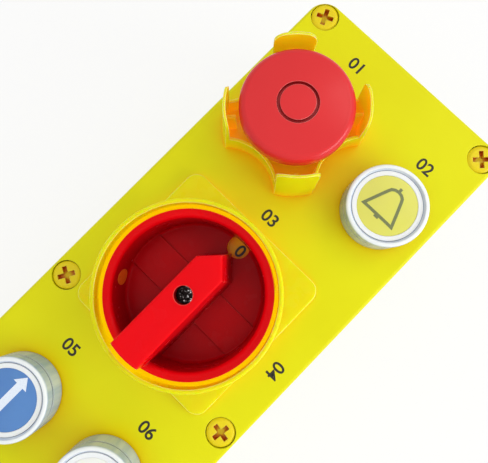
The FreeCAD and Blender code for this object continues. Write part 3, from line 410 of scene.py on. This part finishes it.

# Real moulds are eroded to a grain of 0.05 to 0.2 mm. Here it is drawn at 0.5 mm and more, so that it shows.
# The third colour of each plastic is its paler edge colour, partly wear and partly a painted highlight
FINISHES: dict[str, Finish] = {
    # Shell of yellow ABS from an eroded mould: soft satin gloss, slightly greener where the wall is thick, with
    # painted warm orange shade on its faces round the pieces that stand on it
    "yellow_shell": MouldedPlastic("abs_yellow_eroded_mould", "e2df06", "ddd800", "ecea40", 0.36, 1.54,
                                   0.5, 0.02, 0.5, nook_shade="ffc400", nook_mm=22.0, nook_span=(0.82, 0.3),
                                   own_nooks=False, face_nooks=True, gloss=0.14),
    # Guard of yellow polycarbonate from a polished mould: glossy, lets some light through its thin walls, with
    # painted orange shade and painted light in its corners
    "yellow_guard": MouldedPlastic("polycarbonate_yellow_polished_mould", "e5e010", "e2d806", "fcf8b8", 0.24, 1.58,
                                   0.8, 0.01, 0.6, glow=0.9, glow_mm=(7.0, 3.0, 0.3),
                                   nook_shade="ffb414", nook_mm=14.0, nook_span=(0.85, 0.2), own_nooks=False,
                                   gloss=0.2, carried=0.22),
    # Plate and collar of the switch, the same polycarbonate, a little deeper in colour, with painted orange shade and
    # painted yellow light on the walls in its corners
    "yellow_collar": MouldedPlastic("polycarbonate_yellow_gloss_mould", "e2df06", "ddd902", "f6f594", 0.26, 1.58,
                                    0.8, 0.01, 0.6, glow=0.9, glow_mm=(7.0, 3.0, 0.3),
                                    nook_shade="ffae10", nook_mm=10.0, nook_span=(0.75, 0.15), own_nooks=False,
                                    face_nooks=True, gloss=0.12, carried=0.65, painted_wall_light="d4dc00"),
    # Screws of yellow polyamide: waxy, warm in tone, with painted deep orange shade down in the recess
    "yellow_screw": MouldedPlastic("polyamide_yellow_screw", "e8d214", "e0c80e", "f8f080", 0.34, 1.53,
                                   0.6, 0.015, 0.35, glow=0.1, nook_shade="cc5a08", nook_mm=2.4, gloss=0.2),
    # Mushroom head of red ABS: satin, turned slightly pink by the broad sheen of its skin, with painted dark red
    # shade in its corners, such as the groove round the cap
    "red_button": MouldedPlastic("abs_red_satin_mould", "de292c", "d62327", "ff9a94", 0.24, 1.54,
                                 0.5, 0.015, 0.35, nook_shade="a81418", nook_mm=2.2, own_nooks=False, gloss=0.28),
    # Knob of red polycarbonate from a polished mould: strong clean red, with painted darker shade in the dish
    "red_knob": MouldedPlastic("polycarbonate_red_polished_mould", "ec0614", "e4040f", "ff7a6c", 0.25, 1.58,
                               0.8, 0.01, 0.5, glow=0.5, glow_mm=(4.0, 0.6, 0.5), nook_shade="a80310", nook_mm=22.0,
                               nook_span=(0.7, 0.3), gloss=0.06),
    # Bezels of polycarbonate under sprayed silver lacquer: bright on the rim, with painted blue-grey shade on the
    # walls, broken up by noise, and painted grey shade in the corners
    "silver_bezel": MouldedPlastic("polycarbonate_silver_lacquered", "f1f5f5", "e8eef0", "ffffff", 0.22, 1.5,
                                   0.5, 0.01, 0.4, nook_shade="8494a8", nook_mm=6.0, nook_span=(0.8, 0.3),
                                   own_nooks=False, wall="8ca8d8"),
    # Lenses of diffusing acrylic: milky body, soft gloss, faint depth
    "lens_yellow": MouldedPlastic("acrylic_yellow_diffusing", "dedc5c", "dad762", "f3f2a8", 0.22, 1.49,
                                  0.5, 0.01, 0.3, flow_mm=12.0, glow=0.2),
    "lens_blue": MouldedPlastic("acrylic_blue_diffusing", "5285c4", "4c7dbc", "9abbe2", 0.22, 1.49,
                                0.5, 0.01, 0.3, flow_mm=12.0, glow=0.2),
    "lens_white": MouldedPlastic("acrylic_white_diffusing", "f2f4ec", "eceee6", "ffffff", 0.22, 1.49,
                                 0.5, 0.01, 0.3, flow_mm=12.0, glow=0.2),
    "lens_black": MouldedPlastic("acrylic_black_solid", "1a1b1c", "141516", "3a3b3c", 0.24, 1.49,
                                 0.5, 0.01, 0.3, flow_mm=12.0),
    # Cups that carry the lenses: white polycarbonate, bright ring round each lens
    "white_cup": MouldedPlastic("polycarbonate_white_mould", "f1f4f3", "e8ebea", "ffffff", 0.3, 1.58,
                                0.6, 0.01, 0.3, glow=0.1),
    # Housings of the contacts and the switch: black glass-filled polyamide, matt and slightly mottled
    "black_plastic": MouldedPlastic("polyamide_black_glass_filled", "1d1e20", "16171a", "37383a", 0.55, 1.53,
                                    0.5, 0.03, 0.35),
    # Gland and terminal bodies: grey polyamide, matt
    "grey_plastic": MouldedPlastic("polyamide_grey_mould", "707375", "676a6c", "8f9294", 0.48, 1.53,
                                   0.6, 0.02, 0.4),
    # Seals of black nitrile rubber: dull, with paler edges, partly bloom and partly a painted highlight
    "black_rubber": MouldedPlastic("nitrile_rubber_pressed", "17181a", "101112", "2e3032", 0.75, 1.52,
                                   0.6, 0.02, 0.3),
    # Contacts and inserts of drawn brass: yellow metal with brown stains
    "brass": Metal("brass_drawn", "c9a24a", "9c7730", 0.3, 0.5, 0.01, (1.0, 8.0, 1.0), 0.25),
    # Screws and spindle of zinc-plated steel: cool, slightly clouded
    "zinc_steel": Metal("steel_zinc_plated", "b4b7ba", "96989c", 0.32, 0.6, 0.01, (1.0, 1.0, 6.0), 0.25),
    # Screw in the knob, blackened steel: dark, with bright specks, partly worn bare steel and partly painted glints
    "black_steel": Metal("steel_black_oxide", "1c1514", "f4ecea", 0.2, 0.5, 0.06, (1.0, 1.0, 1.0), 0.3,
                         stain_mm=0.9, stain_span=(0.56, 0.72)),
    # Springs of drawn steel wire: darker, with lines along the wire
    "spring_steel": Metal("steel_spring_wire_drawn", "8d8f92", "737578", 0.35, 0.5, 0.01, (1.0, 1.0, 4.0), 0.2),
}
# Black screen print on the cover and the switch plate
BLACK_INK = PrintedInk("screen_print_black", "17160c", "2e2c18", 0.5, 0.4)
# Grey-green print under the surface of the yellow lens, which veils it
VEILED_INK = PrintedInk("screen_print_grey_under_acrylic", "6f7748", "7d854f", 0.3, 0.5)
# Amber lacquer of the small mark on the wall of the knob's dish
AMBER_LACQUER = PrintedInk("lacquer_amber", "f47c18", "d8600e", 0.4, 1.2)
# White print on the blue lens
WHITE_INK = PrintedInk("screen_print_white", "e3ecf8", "d3def0", 0.4, 0.5)


class Symbol(Enum):
    """Pictogram on a push button's lens."""

    NONE = "none"
    BELL = "bell"
    ARROWS = "arrows"


class PaintShop:
    """Makes each finish once and hands it out."""

    def __init__(self) -> None:
        """Start with no material made."""
        self.made: dict[str, bpy.types.Material] = {}
        self.slots: dict[str, str] = {
            part["node"]: part["material_slot"] for part in frame["record"]["subparts"]}

    def coat(self, finish: Finish) -> bpy.types.Material:
        """Material of a finish, made on first use.

        Args:
            finish: the finish to hand out.

        Returns:
            Its material.
        """
        if finish.name not in self.made:
            self.made[finish.name] = finish.material()
        return self.made[finish.name]

    def dress(self, nodes: Sequence[str]) -> None:
        """Give carried-over nodes the finish of their slot.

        Args:
            nodes: names of the nodes.
        """
        for name in nodes:
            item = frame["nodes"][name]
            material = self.coat(FINISHES[self.slots[name]])
            for spot in item.material_slots:
                spot.material = material
            log.info("dressed %s in %s", name, material.name)


def new_piece(name: str, mesh: bpy.types.Mesh, material: bpy.types.Material, body: str) -> bpy.types.Object:
    """Put a finished mesh into the scene as a piece that rides on a body.

    Args:
        name: name of the piece.
        mesh: its mesh, in the shared frame.
        material: its finish.
        body: body that carries it.

    Returns:
        The new object.
    """
    item = bpy.data.objects.new(name, mesh)
    bpy.context.collection.objects.link(item)
    mesh.materials.clear()
    mesh.materials.append(material)
    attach(item, body)
    log.info("built %s on %s", name, body)
    return item


def film(name: str, outlines: Sequence[Sequence[Flat]], height: Callable[[float, float], float],
         thick_mm: float, cuts: int) -> bpy.types.Mesh:
    """Mesh of a thin film that follows a curved face.

    Args:
        name: name of the mesh.
        outlines: closed convex or simple outlines in millimetres, which may share edges.
        height: height of the face at a place, in millimetres.
        thick_mm: half the thickness of the film.
        cuts: how often each edge is divided so that the film bends with the face.

    Returns:
        A closed mesh in metres.
    """
    shape = bmesh.new()
    for outline in outlines:
        shape.faces.new([shape.verts.new((x, y, 0.0)) for x, y in outline])
    bmesh.ops.remove_doubles(shape, verts=shape.verts, dist=JOIN_MM)
    bmesh.ops.triangulate(shape, faces=shape.faces)
    bmesh.ops.subdivide_edges(shape, edges=shape.edges, cuts=cuts, use_grid_fill=True)
    grown = bmesh.ops.extrude_face_region(shape, geom=list(shape.faces), use_keep_orig=True)
    upper = {item for item in grown["geom"] if isinstance(item, bmesh.types.BMVert)}
    for vert in shape.verts:
        rise = thick_mm if vert in upper else -thick_mm
        vert.co.z = height(vert.co.x, vert.co.y) + rise
    bmesh.ops.recalc_face_normals(shape, faces=shape.faces)
    bmesh.ops.scale(shape, vec=(MM, MM, MM), verts=shape.verts)
    mesh = bpy.data.meshes.new(name)
    shape.to_mesh(mesh)
    shape.free()
    return mesh


def stroke(points: Sequence[Flat], width: float) -> list[list[Flat]]:
    """Outlines of a closed line of even width.

    Args:
        points: corners of the line, counter-clockwise.
        width: width of the line.

    Returns:
        One four-sided outline for each run of the line.
    """
    inner: list[Flat] = []
    outer: list[Flat] = []
    count = len(points)
    for index in range(count):
        before, here, after = (Vector(points[(index + step) % count]) for step in (-1, 0, 1))
        along, onward = (here - before).normalized(), (after - here).normalized()
        out_first = Vector((along.y, -along.x))
        out_next = Vector((onward.y, -onward.x))
        mitre = (out_first + out_next).normalized()
        reach = min(width * 0.5 / max(mitre.dot(out_first), MITRE_LEAST), width * MITRE_MOST)
        outer.append(tuple(here + mitre * reach))
        inner.append(tuple(here - mitre * reach))
    return [[outer[index], outer[(index + 1) % count], inner[(index + 1) % count], inner[index]]
            for index in range(count)]


def numeral(name: str, text: str, high_mm: float, bold_mm: float, place: Matrix) -> bpy.types.Mesh:
    """Printed number as a thin closed mesh.

    Args:
        name: name of the mesh.
        text: digits to print.
        high_mm: height of the digits.
        bold_mm: how much wider the lines of the digits are drawn on each side.
        place: where the middle of the number lies and how it is turned.

    Returns:
        The mesh in the shared frame.
    """
    curve = bpy.data.curves.new(f"{name}_curve", "FONT")
    curve.body = text
    curve.align_x = "CENTER"
    curve.align_y = "CENTER"
    curve.size = high_mm * MM / DIGIT_SHARE
    curve.extrude = PRINT_MM * MM
    curve.offset = bold_mm * MM
    item = bpy.data.objects.new(f"{name}_curve", curve)
    bpy.context.collection.objects.link(item)
    bpy.context.view_layer.update()
    mesh = bpy.data.meshes.new_from_object(item.evaluated_get(bpy.context.evaluated_depsgraph_get()))
    mesh.name = name
    mesh.transform(place)
    bpy.data.objects.remove(item)
    bpy.data.curves.remove(curve)
    return mesh


@dataclass
class CoilSpring:
    """Return spring of round wire."""

    shop: PaintShop
    node: str
    joint: str
    # Radius of the wire, turns of the coil, steps in a turn, corners of the wire's section and flat turns at each end
    wire: float = 0.5
    turns: int = 6
    steps: int = 24
    sides: int = 8
    flat_turns: float = 0.8

    def ring(self, middle: Vector, reach: float, turn: float, height: float) -> list[Vector]:
        """Corners of the wire's section at one place of the coil.

        Args:
            middle: a point on the spring's axis.
            reach: radius of the coil.
            turn: angle round the axis, in radians.
            height: height of the wire's middle.

        Returns:
            The corners, in metres.
        """
        corners: list[Vector] = []
        for side in range(self.sides):
            lean = math.tau * side / self.sides
            out = reach + self.wire * math.cos(lean)
            corners.append(Vector((middle.x + out * math.cos(turn), middle.y + out * math.sin(turn),
                                   height + self.wire * math.sin(lean))) * MM)
        return corners

    def mesh(self, low: Vector, high: Vector) -> bpy.types.Mesh:
        """Mesh of a coil with flat end turns.

        Args:
            low: lowest corner of the spring's box, in millimetres.
            high: highest corner of that box.

        Returns:
            A closed mesh in the shared frame.
        """
        reach = (high.x - low.x) * 0.5 - self.wire
        rise = high.z - low.z - 2 * self.wire
        shape = bmesh.new()
        rings: list[list[bmesh.types.BMVert]] = []
        for step in range(self.turns * self.steps + 1):
            turned = step / self.steps
            share = (turned - self.flat_turns) / (self.turns - 2 * self.flat_turns)
            height = low.z + self.wire + rise * min(1.0, max(0.0, share))
            corners = self.ring((low + high) * 0.5, reach, math.tau * turned, height)
            rings.append([shape.verts.new(corner) for corner in corners])
        for first, second in zip(rings, rings[1:]):
            for side in range(self.sides):
                after = (side + 1) % self.sides
                shape.faces.new((first[side], first[after], second[after], second[side]))
        shape.faces.new(rings[0])
        shape.faces.new(reversed(rings[-1]))
        bmesh.ops.recalc_face_normals(shape, faces=shape.faces)
        mesh = bpy.data.meshes.new(f"{self.node}_coil")
        shape.to_mesh(mesh)
        shape.free()
        return mesh

    def build(self) -> None:
        """Wind the spring in place of the plain one."""
        low, high = (Vector(corner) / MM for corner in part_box(self.node))
        coil = new_piece(f"{self.node}_coil", self.mesh(low, high), self.shop.coat(FINISHES["spring_steel"]),
                         "housing")
        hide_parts(self.node)
        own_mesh(coil)


@dataclass
class Enclosure:
    """Tray, lid, seal and screws of the box, with the numbers printed beside its controls."""

    shop: PaintShop
    nodes: tuple[str, ...] = ("base_box", "cover", "cover_gasket", "cover_screws", "screw_inserts")
    digit_high: float = 5.0
    digit_bold: float = 0.12
    # Number, place on the cover and turn in degrees
    marks: tuple[tuple[str, float, float, float], ...] = (
        ("01", -18.5, 138.0, 0.0), ("02", 28.2, 126.6, 0.0), ("03", -0.9, 70.3, 0.0), ("04", 40.4, 30.4, -90.0),
        ("05", -20.7, -17.8, 0.0), ("06", 21.7, -18.8, 0.0), ("07", 21.7, -73.5, 0.0))

    def build(self) -> None:
        """Print the numbers on the cover."""
        for text, x, y, turn in self.marks:
            place = Matrix.Translation(Vector((x, y, COVER_FACE)) * MM) @ Matrix.Rotation(math.radians(turn), 4, "Z")
            mesh = numeral(f"print_{text}", text, self.digit_high, self.digit_bold, place)
            new_piece(f"print_{text}", mesh, self.shop.coat(BLACK_INK), "housing")

    def dress(self) -> None:
        """Finish the carried-over shells and screws."""
        self.shop.dress(self.nodes)


@dataclass
class CableGland:
    """Gland in the lower end wall."""

    shop: PaintShop
    nodes: tuple[str, ...] = ("gland_washer", "gland_body", "gland_seal", "gland_nut", "gland_locknut")

    def dress(self) -> None:
        """Finish the gland's pieces."""
        self.shop.dress(self.nodes)


@dataclass
class InnerWorks:
    """Terminals, contacts and fittings behind the cover."""

    shop: PaintShop
    nodes: tuple[str, ...] = ("terminal_strip", "terminal_screws", "terminal_fixings", "make_contacts",
                              "break_contacts", "panel_gaskets", "panel_nuts", "clamp_screws")

    def dress(self) -> None:
        """Finish the inner pieces."""
        self.shop.dress(self.nodes)


@dataclass
class EmergencyStop:
    """Mushroom head in its guard of four lobes."""

    shop: PaintShop
    nodes: tuple[str, ...] = ("stop_guard", "stop_bushing", "stop_head", "stop_cap", "stop_stem",
                              "stop_contact_block", "stop_contact_bridge")

    def build(self) -> None:
        """Wind the spring under the head."""
        CoilSpring(self.shop, "stop_spring", "stop_push").build()

    def dress(self) -> None:
        """Finish the guard, the head and what is under it."""
        self.shop.dress(self.nodes)


@dataclass
class PushButton:
    """Push button with a lens in a silver bezel."""

    shop: PaintShop
    name: str
    x: float
    y: float
    symbol: Symbol
    ink: PrintedInk | None = None
    lens_radius: float = 11.0
    lens_edge: float = 13.0
    lens_crown: float = 0.5
    pieces: tuple[str, ...] = ("bezel", "lens", "plunger", "contact_block", "contact_bridge")
    film_cuts: int = 4
    bell_line: float = 1.15
    bell_shift: Flat = (-0.35, 0.0)
    # Right half of the bell, from the end of its foot up to its crown
    bell_half: tuple[Flat, ...] = ((6.65, -4.95), (3.1, 4.2), (2.55, 5.3), (1.4, 6.05))
    bell_crown: Flat = (0.0, 6.3)
    # Lower and upper edge of the loop above the crown and of the clapper below the foot
    loop_span: Flat = (6.75, 7.95)
    clapper_span: Flat = (-6.25, -5.4)
    clapper_half: float = 0.95
    # Corners of the right side of one end: foot of the shaft, neck, wing and tip
    arrow_half: tuple[Flat, ...] = ((1.45, 0.0), (1.45, 6.9), (3.1, 6.9), (0.0, 10.7))

    def face_height(self, x: float, y: float) -> float:
        """Height of the crowned lens at a place measured from the button's axis.

        Args:
            x: place across the box.
            y: place along the box.

        Returns:
            Height above the cover.
        """
        radius = (self.lens_radius ** 2 + self.lens_crown ** 2) / (2 * self.lens_crown)
        return self.lens_edge + self.lens_crown - radius + math.sqrt(radius ** 2 - x * x - y * y)

    def bell(self) -> list[list[Flat]]:
        """Outlines of a bell: a closed line, the loop on its crown and the clapper below it.

        Returns:
            The outlines, measured from the button's axis.
        """
        right = list(self.bell_half)
        left = [(-x, y) for x, y in reversed(right)]
        lines = stroke(right + [self.bell_crown] + left, self.bell_line)
        blocks = [[(-half, low), (half, low), (half, high), (-half, high)]
                  for half, (low, high) in ((self.bell_line * 0.5, self.loop_span),
                                            (self.clapper_half, self.clapper_span))]
        aside, along = self.bell_shift
        return [[(x + aside, y + along) for x, y in outline] for outline in lines + blocks]

    def arrows(self) -> list[list[Flat]]:
        """Outlines of an arrow with a head at both ends.

        Returns:
            The outlines of its shaft and its heads, measured from the button's axis.
        """
        shaft, neck, wing, tip = self.arrow_half
        body = [(-shaft[0], -neck[1]), (shaft[0], -neck[1]), neck, (-neck[0], neck[1])]
        heads = [[(-wing[0], end * wing[1]), (wing[0], end * wing[1]), (tip[0], end * tip[1])] for end in (1, -1)]
        return [body] + heads

    def build(self) -> None:
        """Wind the spring under the lens, and print the pictogram on it."""
        CoilSpring(self.shop, f"{self.name}_spring", f"{self.name}_push").build()
        if self.symbol is Symbol.NONE or self.ink is None:
            return
        outlines = self.bell() if self.symbol is Symbol.BELL else self.arrows()
        mesh = film(f"{self.name}_symbol", outlines, self.face_height, PRINT_MM, self.film_cuts)
        mesh.transform(Matrix.Translation(Vector((self.x, self.y, COVER_FACE)) * MM))
        new_piece(f"{self.name}_symbol", mesh, self.shop.coat(self.ink), f"{self.name}_button")

    def dress(self) -> None:
        """Finish the button's carried-over pieces."""
        self.shop.dress([f"{self.name}_{piece}" for piece in self.pieces])


@dataclass
class ModeSwitch:
    """Rotary switch with its shielding collar."""

    shop: PaintShop
    x: float = -1.2
    y: float = 30.9
    dial_top: float = 7.0
    nodes: tuple[str, ...] = ("switch_collar", "switch_knob", "knob_screw", "switch_spindle", "switch_cam",
                              "switch_body", "switch_end_plate", "switch_fixings")
    # Number under the knob's window at each position: text, offset from the axis and turn in degrees
    dial: tuple[tuple[str, float, float, float], ...] = (("0", 1.4, 22.1, 0.0), ("1", 22.1, -1.4, -90.0))
    digit_high: float = 4.8
    digit_bold: float = 0.12
    # Mark on the wall of the knob's dish: direction from the axis, middle height and half its size
    mark_turn: float = -148.5
    mark_height: float = 16.4
    mark_half: Flat = (2.9, 5.2)
    mark_corners: int = 24
    mark_thick: float = 0.06
    mark_cuts: int = 2
    # Radius and height of the dish's wall at its foot and at its mouth
    wall_foot: Flat = (25.0, 11.2)
    wall_mouth: Flat = (25.2, 27.1)

    def wall_reach(self, height: float) -> float:
        """Radius of the dish's wall at a height above the cover."""
        share = (height - self.wall_foot[1]) / (self.wall_mouth[1] - self.wall_foot[1])
        return self.wall_foot[0] + share * (self.wall_mouth[0] - self.wall_foot[0])

    def wall_mark(self) -> bpy.types.Mesh:
        """Mesh of the oval mark, bent round the wall of the dish.

        Returns:
            A closed mesh in the shared frame.
        """
        turns = [math.tau * step / self.mark_corners for step in range(self.mark_corners)]
        oval = [(self.mark_half[0] * math.cos(turn), self.mark_half[1] * math.sin(turn)) for turn in turns]
        mesh = film("knob_mark", [oval], lambda x, y: 0.0, self.mark_thick, self.mark_cuts)
        for vert in mesh.vertices:
            aside, above, out = vert.co / MM
            height = self.mark_height + above
            reach = self.wall_reach(height) - out
            angle = math.radians(self.mark_turn) + aside / reach
            vert.co = Vector((self.x + reach * math.cos(angle), self.y + reach * math.sin(angle),
                              COVER_FACE + height)) * MM
        return mesh

    def build(self) -> None:
        """Print the position numbers on the dial, and put the mark in the knob's dish."""
        new_piece("knob_mark", self.wall_mark(), self.shop.coat(AMBER_LACQUER), "switch_rotor")
        for text, aside, along, turn in self.dial:
            spot = Vector((self.x + aside, self.y + along, COVER_FACE + self.dial_top)) * MM
            place = Matrix.Translation(spot) @ Matrix.Rotation(math.radians(turn), 4, "Z")
            mesh = numeral(f"dial_{text}", text, self.digit_high, self.digit_bold, place)
            new_piece(f"dial_{text}", mesh, self.shop.coat(BLACK_INK), "housing")

    def dress(self) -> None:
        """Finish the switch's carried-over pieces."""
        self.shop.dress(self.nodes)


@dataclass(frozen=True)
class SoftBox:
    """One large lamp of the studio, in millimetres and watts, aimed at the cover."""

    name: str
    place: tuple[float, float, float]
    wide: float
    deep: float
    watts: float
    tint: str


@dataclass
class Studio:
    """White floor, soft lamps and the camera."""

    target: tuple[float, float, float] = (0.0, 40.0, 75.0)
    floor_half: float = 3000.0
    # Colour and roughness of the floor's paper, and the share of plain white that the camera sees there
    floor_paper: str = "f6f6f6"
    floor_rough: float = 0.9
    floor_white: float = 0.8
    # Light of the room, colour of its walls, and the heights between which they turn into the white ceiling
    ambient: float = 0.97
    walls: str = "b8b8b8"
    ceiling_span: Flat = (0.3, 0.7)
    camera_place: tuple[float, float, float] = (10.021, 49.516, 261.853)
    camera_turn: tuple[float, float, float] = (5.36586, 0.98529, 44.40209)
    sensor_wide: float = 36.0
    focal_length: float = 35.89
    nearest: float = 5.0
    lamps: tuple[SoftBox, ...] = field(default_factory=lambda: (
        SoftBox("key_lamp", (317.0, 1273.0, 1487.0), 900.0, 900.0, 3.5, "fffdf8"),
        SoftBox("side_lamp", (680.0, 265.0, 360.0), 600.0, 200.0, 2.8, "ffffff")))

    def white_share(self, tree: bpy.types.NodeTree, most: float) -> bpy.types.NodeSocket:
        """Share of plain white that rays see which come from the camera, or by way of gloss or glass.

        Args:
            tree: node tree of the floor or the world.
            most: share for those rays.

        Returns:
            Socket with the share; other rays get none.
        """
        path = add_node(tree, "ShaderNodeLightPath")
        seen = path.outputs["Is Camera Ray"]
        for ray in ("Is Glossy Ray", "Is Transmission Ray"):
            either = add_node(tree, "ShaderNodeMath", {"operation": "MAXIMUM"}, {0: seen, 1: path.outputs[ray]})
            seen = either.outputs["Value"]
        share = add_node(tree, "ShaderNodeMath", {"operation": "MULTIPLY"}, {0: seen, 1: most})
        return share.outputs["Value"]

    def build_floor(self) -> None:
        """Lay the pale floor on which the box lies."""
        material, tree = blank_material("studio_floor_white")
        paper = add_node(tree, "ShaderNodeBsdfDiffuse", sockets={
            "Color": linear(self.floor_paper), "Roughness": self.floor_rough})
        plain = add_node(tree, "ShaderNodeEmission", sockets={"Color": linear(WHITE), "Strength": 1.0})
        mix = add_node(tree, "ShaderNodeMixShader", sockets={
            0: self.white_share(tree, self.floor_white), 1: paper.outputs["BSDF"], 2: plain.outputs["Emission"]})
        add_node(tree, "ShaderNodeOutputMaterial", sockets={"Surface": mix.outputs["Shader"]})
        shape = bmesh.new()
        half = self.floor_half * MM
        shape.faces.new([shape.verts.new((x * half, y * half, 0.0))
                         for x, y in ((-1, -1), (1, -1), (1, 1), (-1, 1))])
        mesh = bpy.data.meshes.new("studio_floor")
        shape.to_mesh(mesh)
        shape.free()
        mesh.materials.append(material)
        floor = bpy.data.objects.new("studio_floor", mesh)
        bpy.context.collection.objects.link(floor)

    def build_world(self) -> None:
        """Light the box from grey walls and a white ceiling, before a backdrop that looks plain white."""
        world = bpy.data.worlds.new("studio_world")
        world.use_nodes = True
        tree = world.node_tree
        tree.nodes.clear()
        place = add_node(tree, "ShaderNodeTexCoord")
        axes = add_node(tree, "ShaderNodeSeparateXYZ", sockets={0: place.outputs["Generated"]})
        rise = add_node(tree, "ShaderNodeMapRange", sockets={
            "Value": axes.outputs["Z"], "From Min": self.ceiling_span[0], "From Max": self.ceiling_span[1]})
        sky = add_node(tree, "ShaderNodeMix", {"data_type": "RGBA"}, {
            MIX_FACTOR: rise.outputs["Result"], MIX_FIRST: linear(self.walls), MIX_SECOND: linear(WHITE)})
        room = add_node(tree, "ShaderNodeBackground", sockets={
            "Color": sky.outputs[MIX_RESULT], "Strength": self.ambient})
        plain = add_node(tree, "ShaderNodeBackground", sockets={"Color": linear(WHITE), "Strength": 1.0})
        mix = add_node(tree, "ShaderNodeMixShader", sockets={
            0: self.white_share(tree, 1.0), 1: room.outputs["Background"], 2: plain.outputs["Background"]})
        add_node(tree, "ShaderNodeOutputWorld", sockets={"Surface": mix.outputs["Shader"]})
        bpy.context.scene.world = world

    def build_lamps(self) -> None:
        """Hang the soft lamps."""
        for box in self.lamps:
            lamp = bpy.data.lights.new(box.name, "AREA")
            lamp.shape = "RECTANGLE"
            lamp.size = box.wide * MM
            lamp.size_y = box.deep * MM
            lamp.energy = box.watts
            lamp.color = linear(box.tint)[:3]
            item = bpy.data.objects.new(box.name, lamp)
            item.location = Vector(box.place) * MM
            aim = (Vector(self.target) - Vector(box.place)).to_track_quat("-Z", "Y")
            item.rotation_euler = aim.to_euler()
            bpy.context.collection.objects.link(item)

    def build_camera(self) -> None:
        """Set the camera above the cover, where the picture was taken from."""
        lens = bpy.data.cameras.new("camera")
        lens.sensor_fit = "HORIZONTAL"
        lens.sensor_width = self.sensor_wide
        lens.lens = self.focal_length
        lens.clip_start = self.nearest * MM
        item = bpy.data.objects.new("camera", lens)
        item.location = Vector(self.camera_place) * MM
        item.rotation_euler = Euler([math.radians(angle) for angle in self.camera_turn])
        bpy.context.collection.objects.link(item)
        bpy.context.scene.camera = item
        bpy.context.scene.view_settings.view_transform = "Standard"

    def build(self) -> None:
        """Set up the whole studio."""
        self.build_floor()
        self.build_world()
        self.build_lamps()
        self.build_camera()
        log.info("built the studio")


def main() -> None:
    """Build and dress every sub-assembly in order."""
    logging.basicConfig(level=logging.INFO, format="%(message)s")
    shop = PaintShop()
    buttons = (
        PushButton(shop, "alarm", 26.8, 101.7, Symbol.BELL, VEILED_INK),
        PushButton(shop, "run", -21.8, -41.6, Symbol.ARROWS, WHITE_INK),
        PushButton(shop, "up", 21.4, -41.6, Symbol.NONE),
        PushButton(shop, "down", 21.4, -96.0, Symbol.NONE))
    Studio().build()
    enclosure = Enclosure(shop)
    enclosure.build()
    enclosure.dress()
    CableGland(shop).dress()
    InnerWorks(shop).dress()
    stop = EmergencyStop(shop)
    stop.build()
    stop.dress()
    for button in buttons:
        button.build()
        button.dress()
    switch = ModeSwitch(shop)
    switch.build()
    switch.dress()


if __name__ == "__main__":
    main()
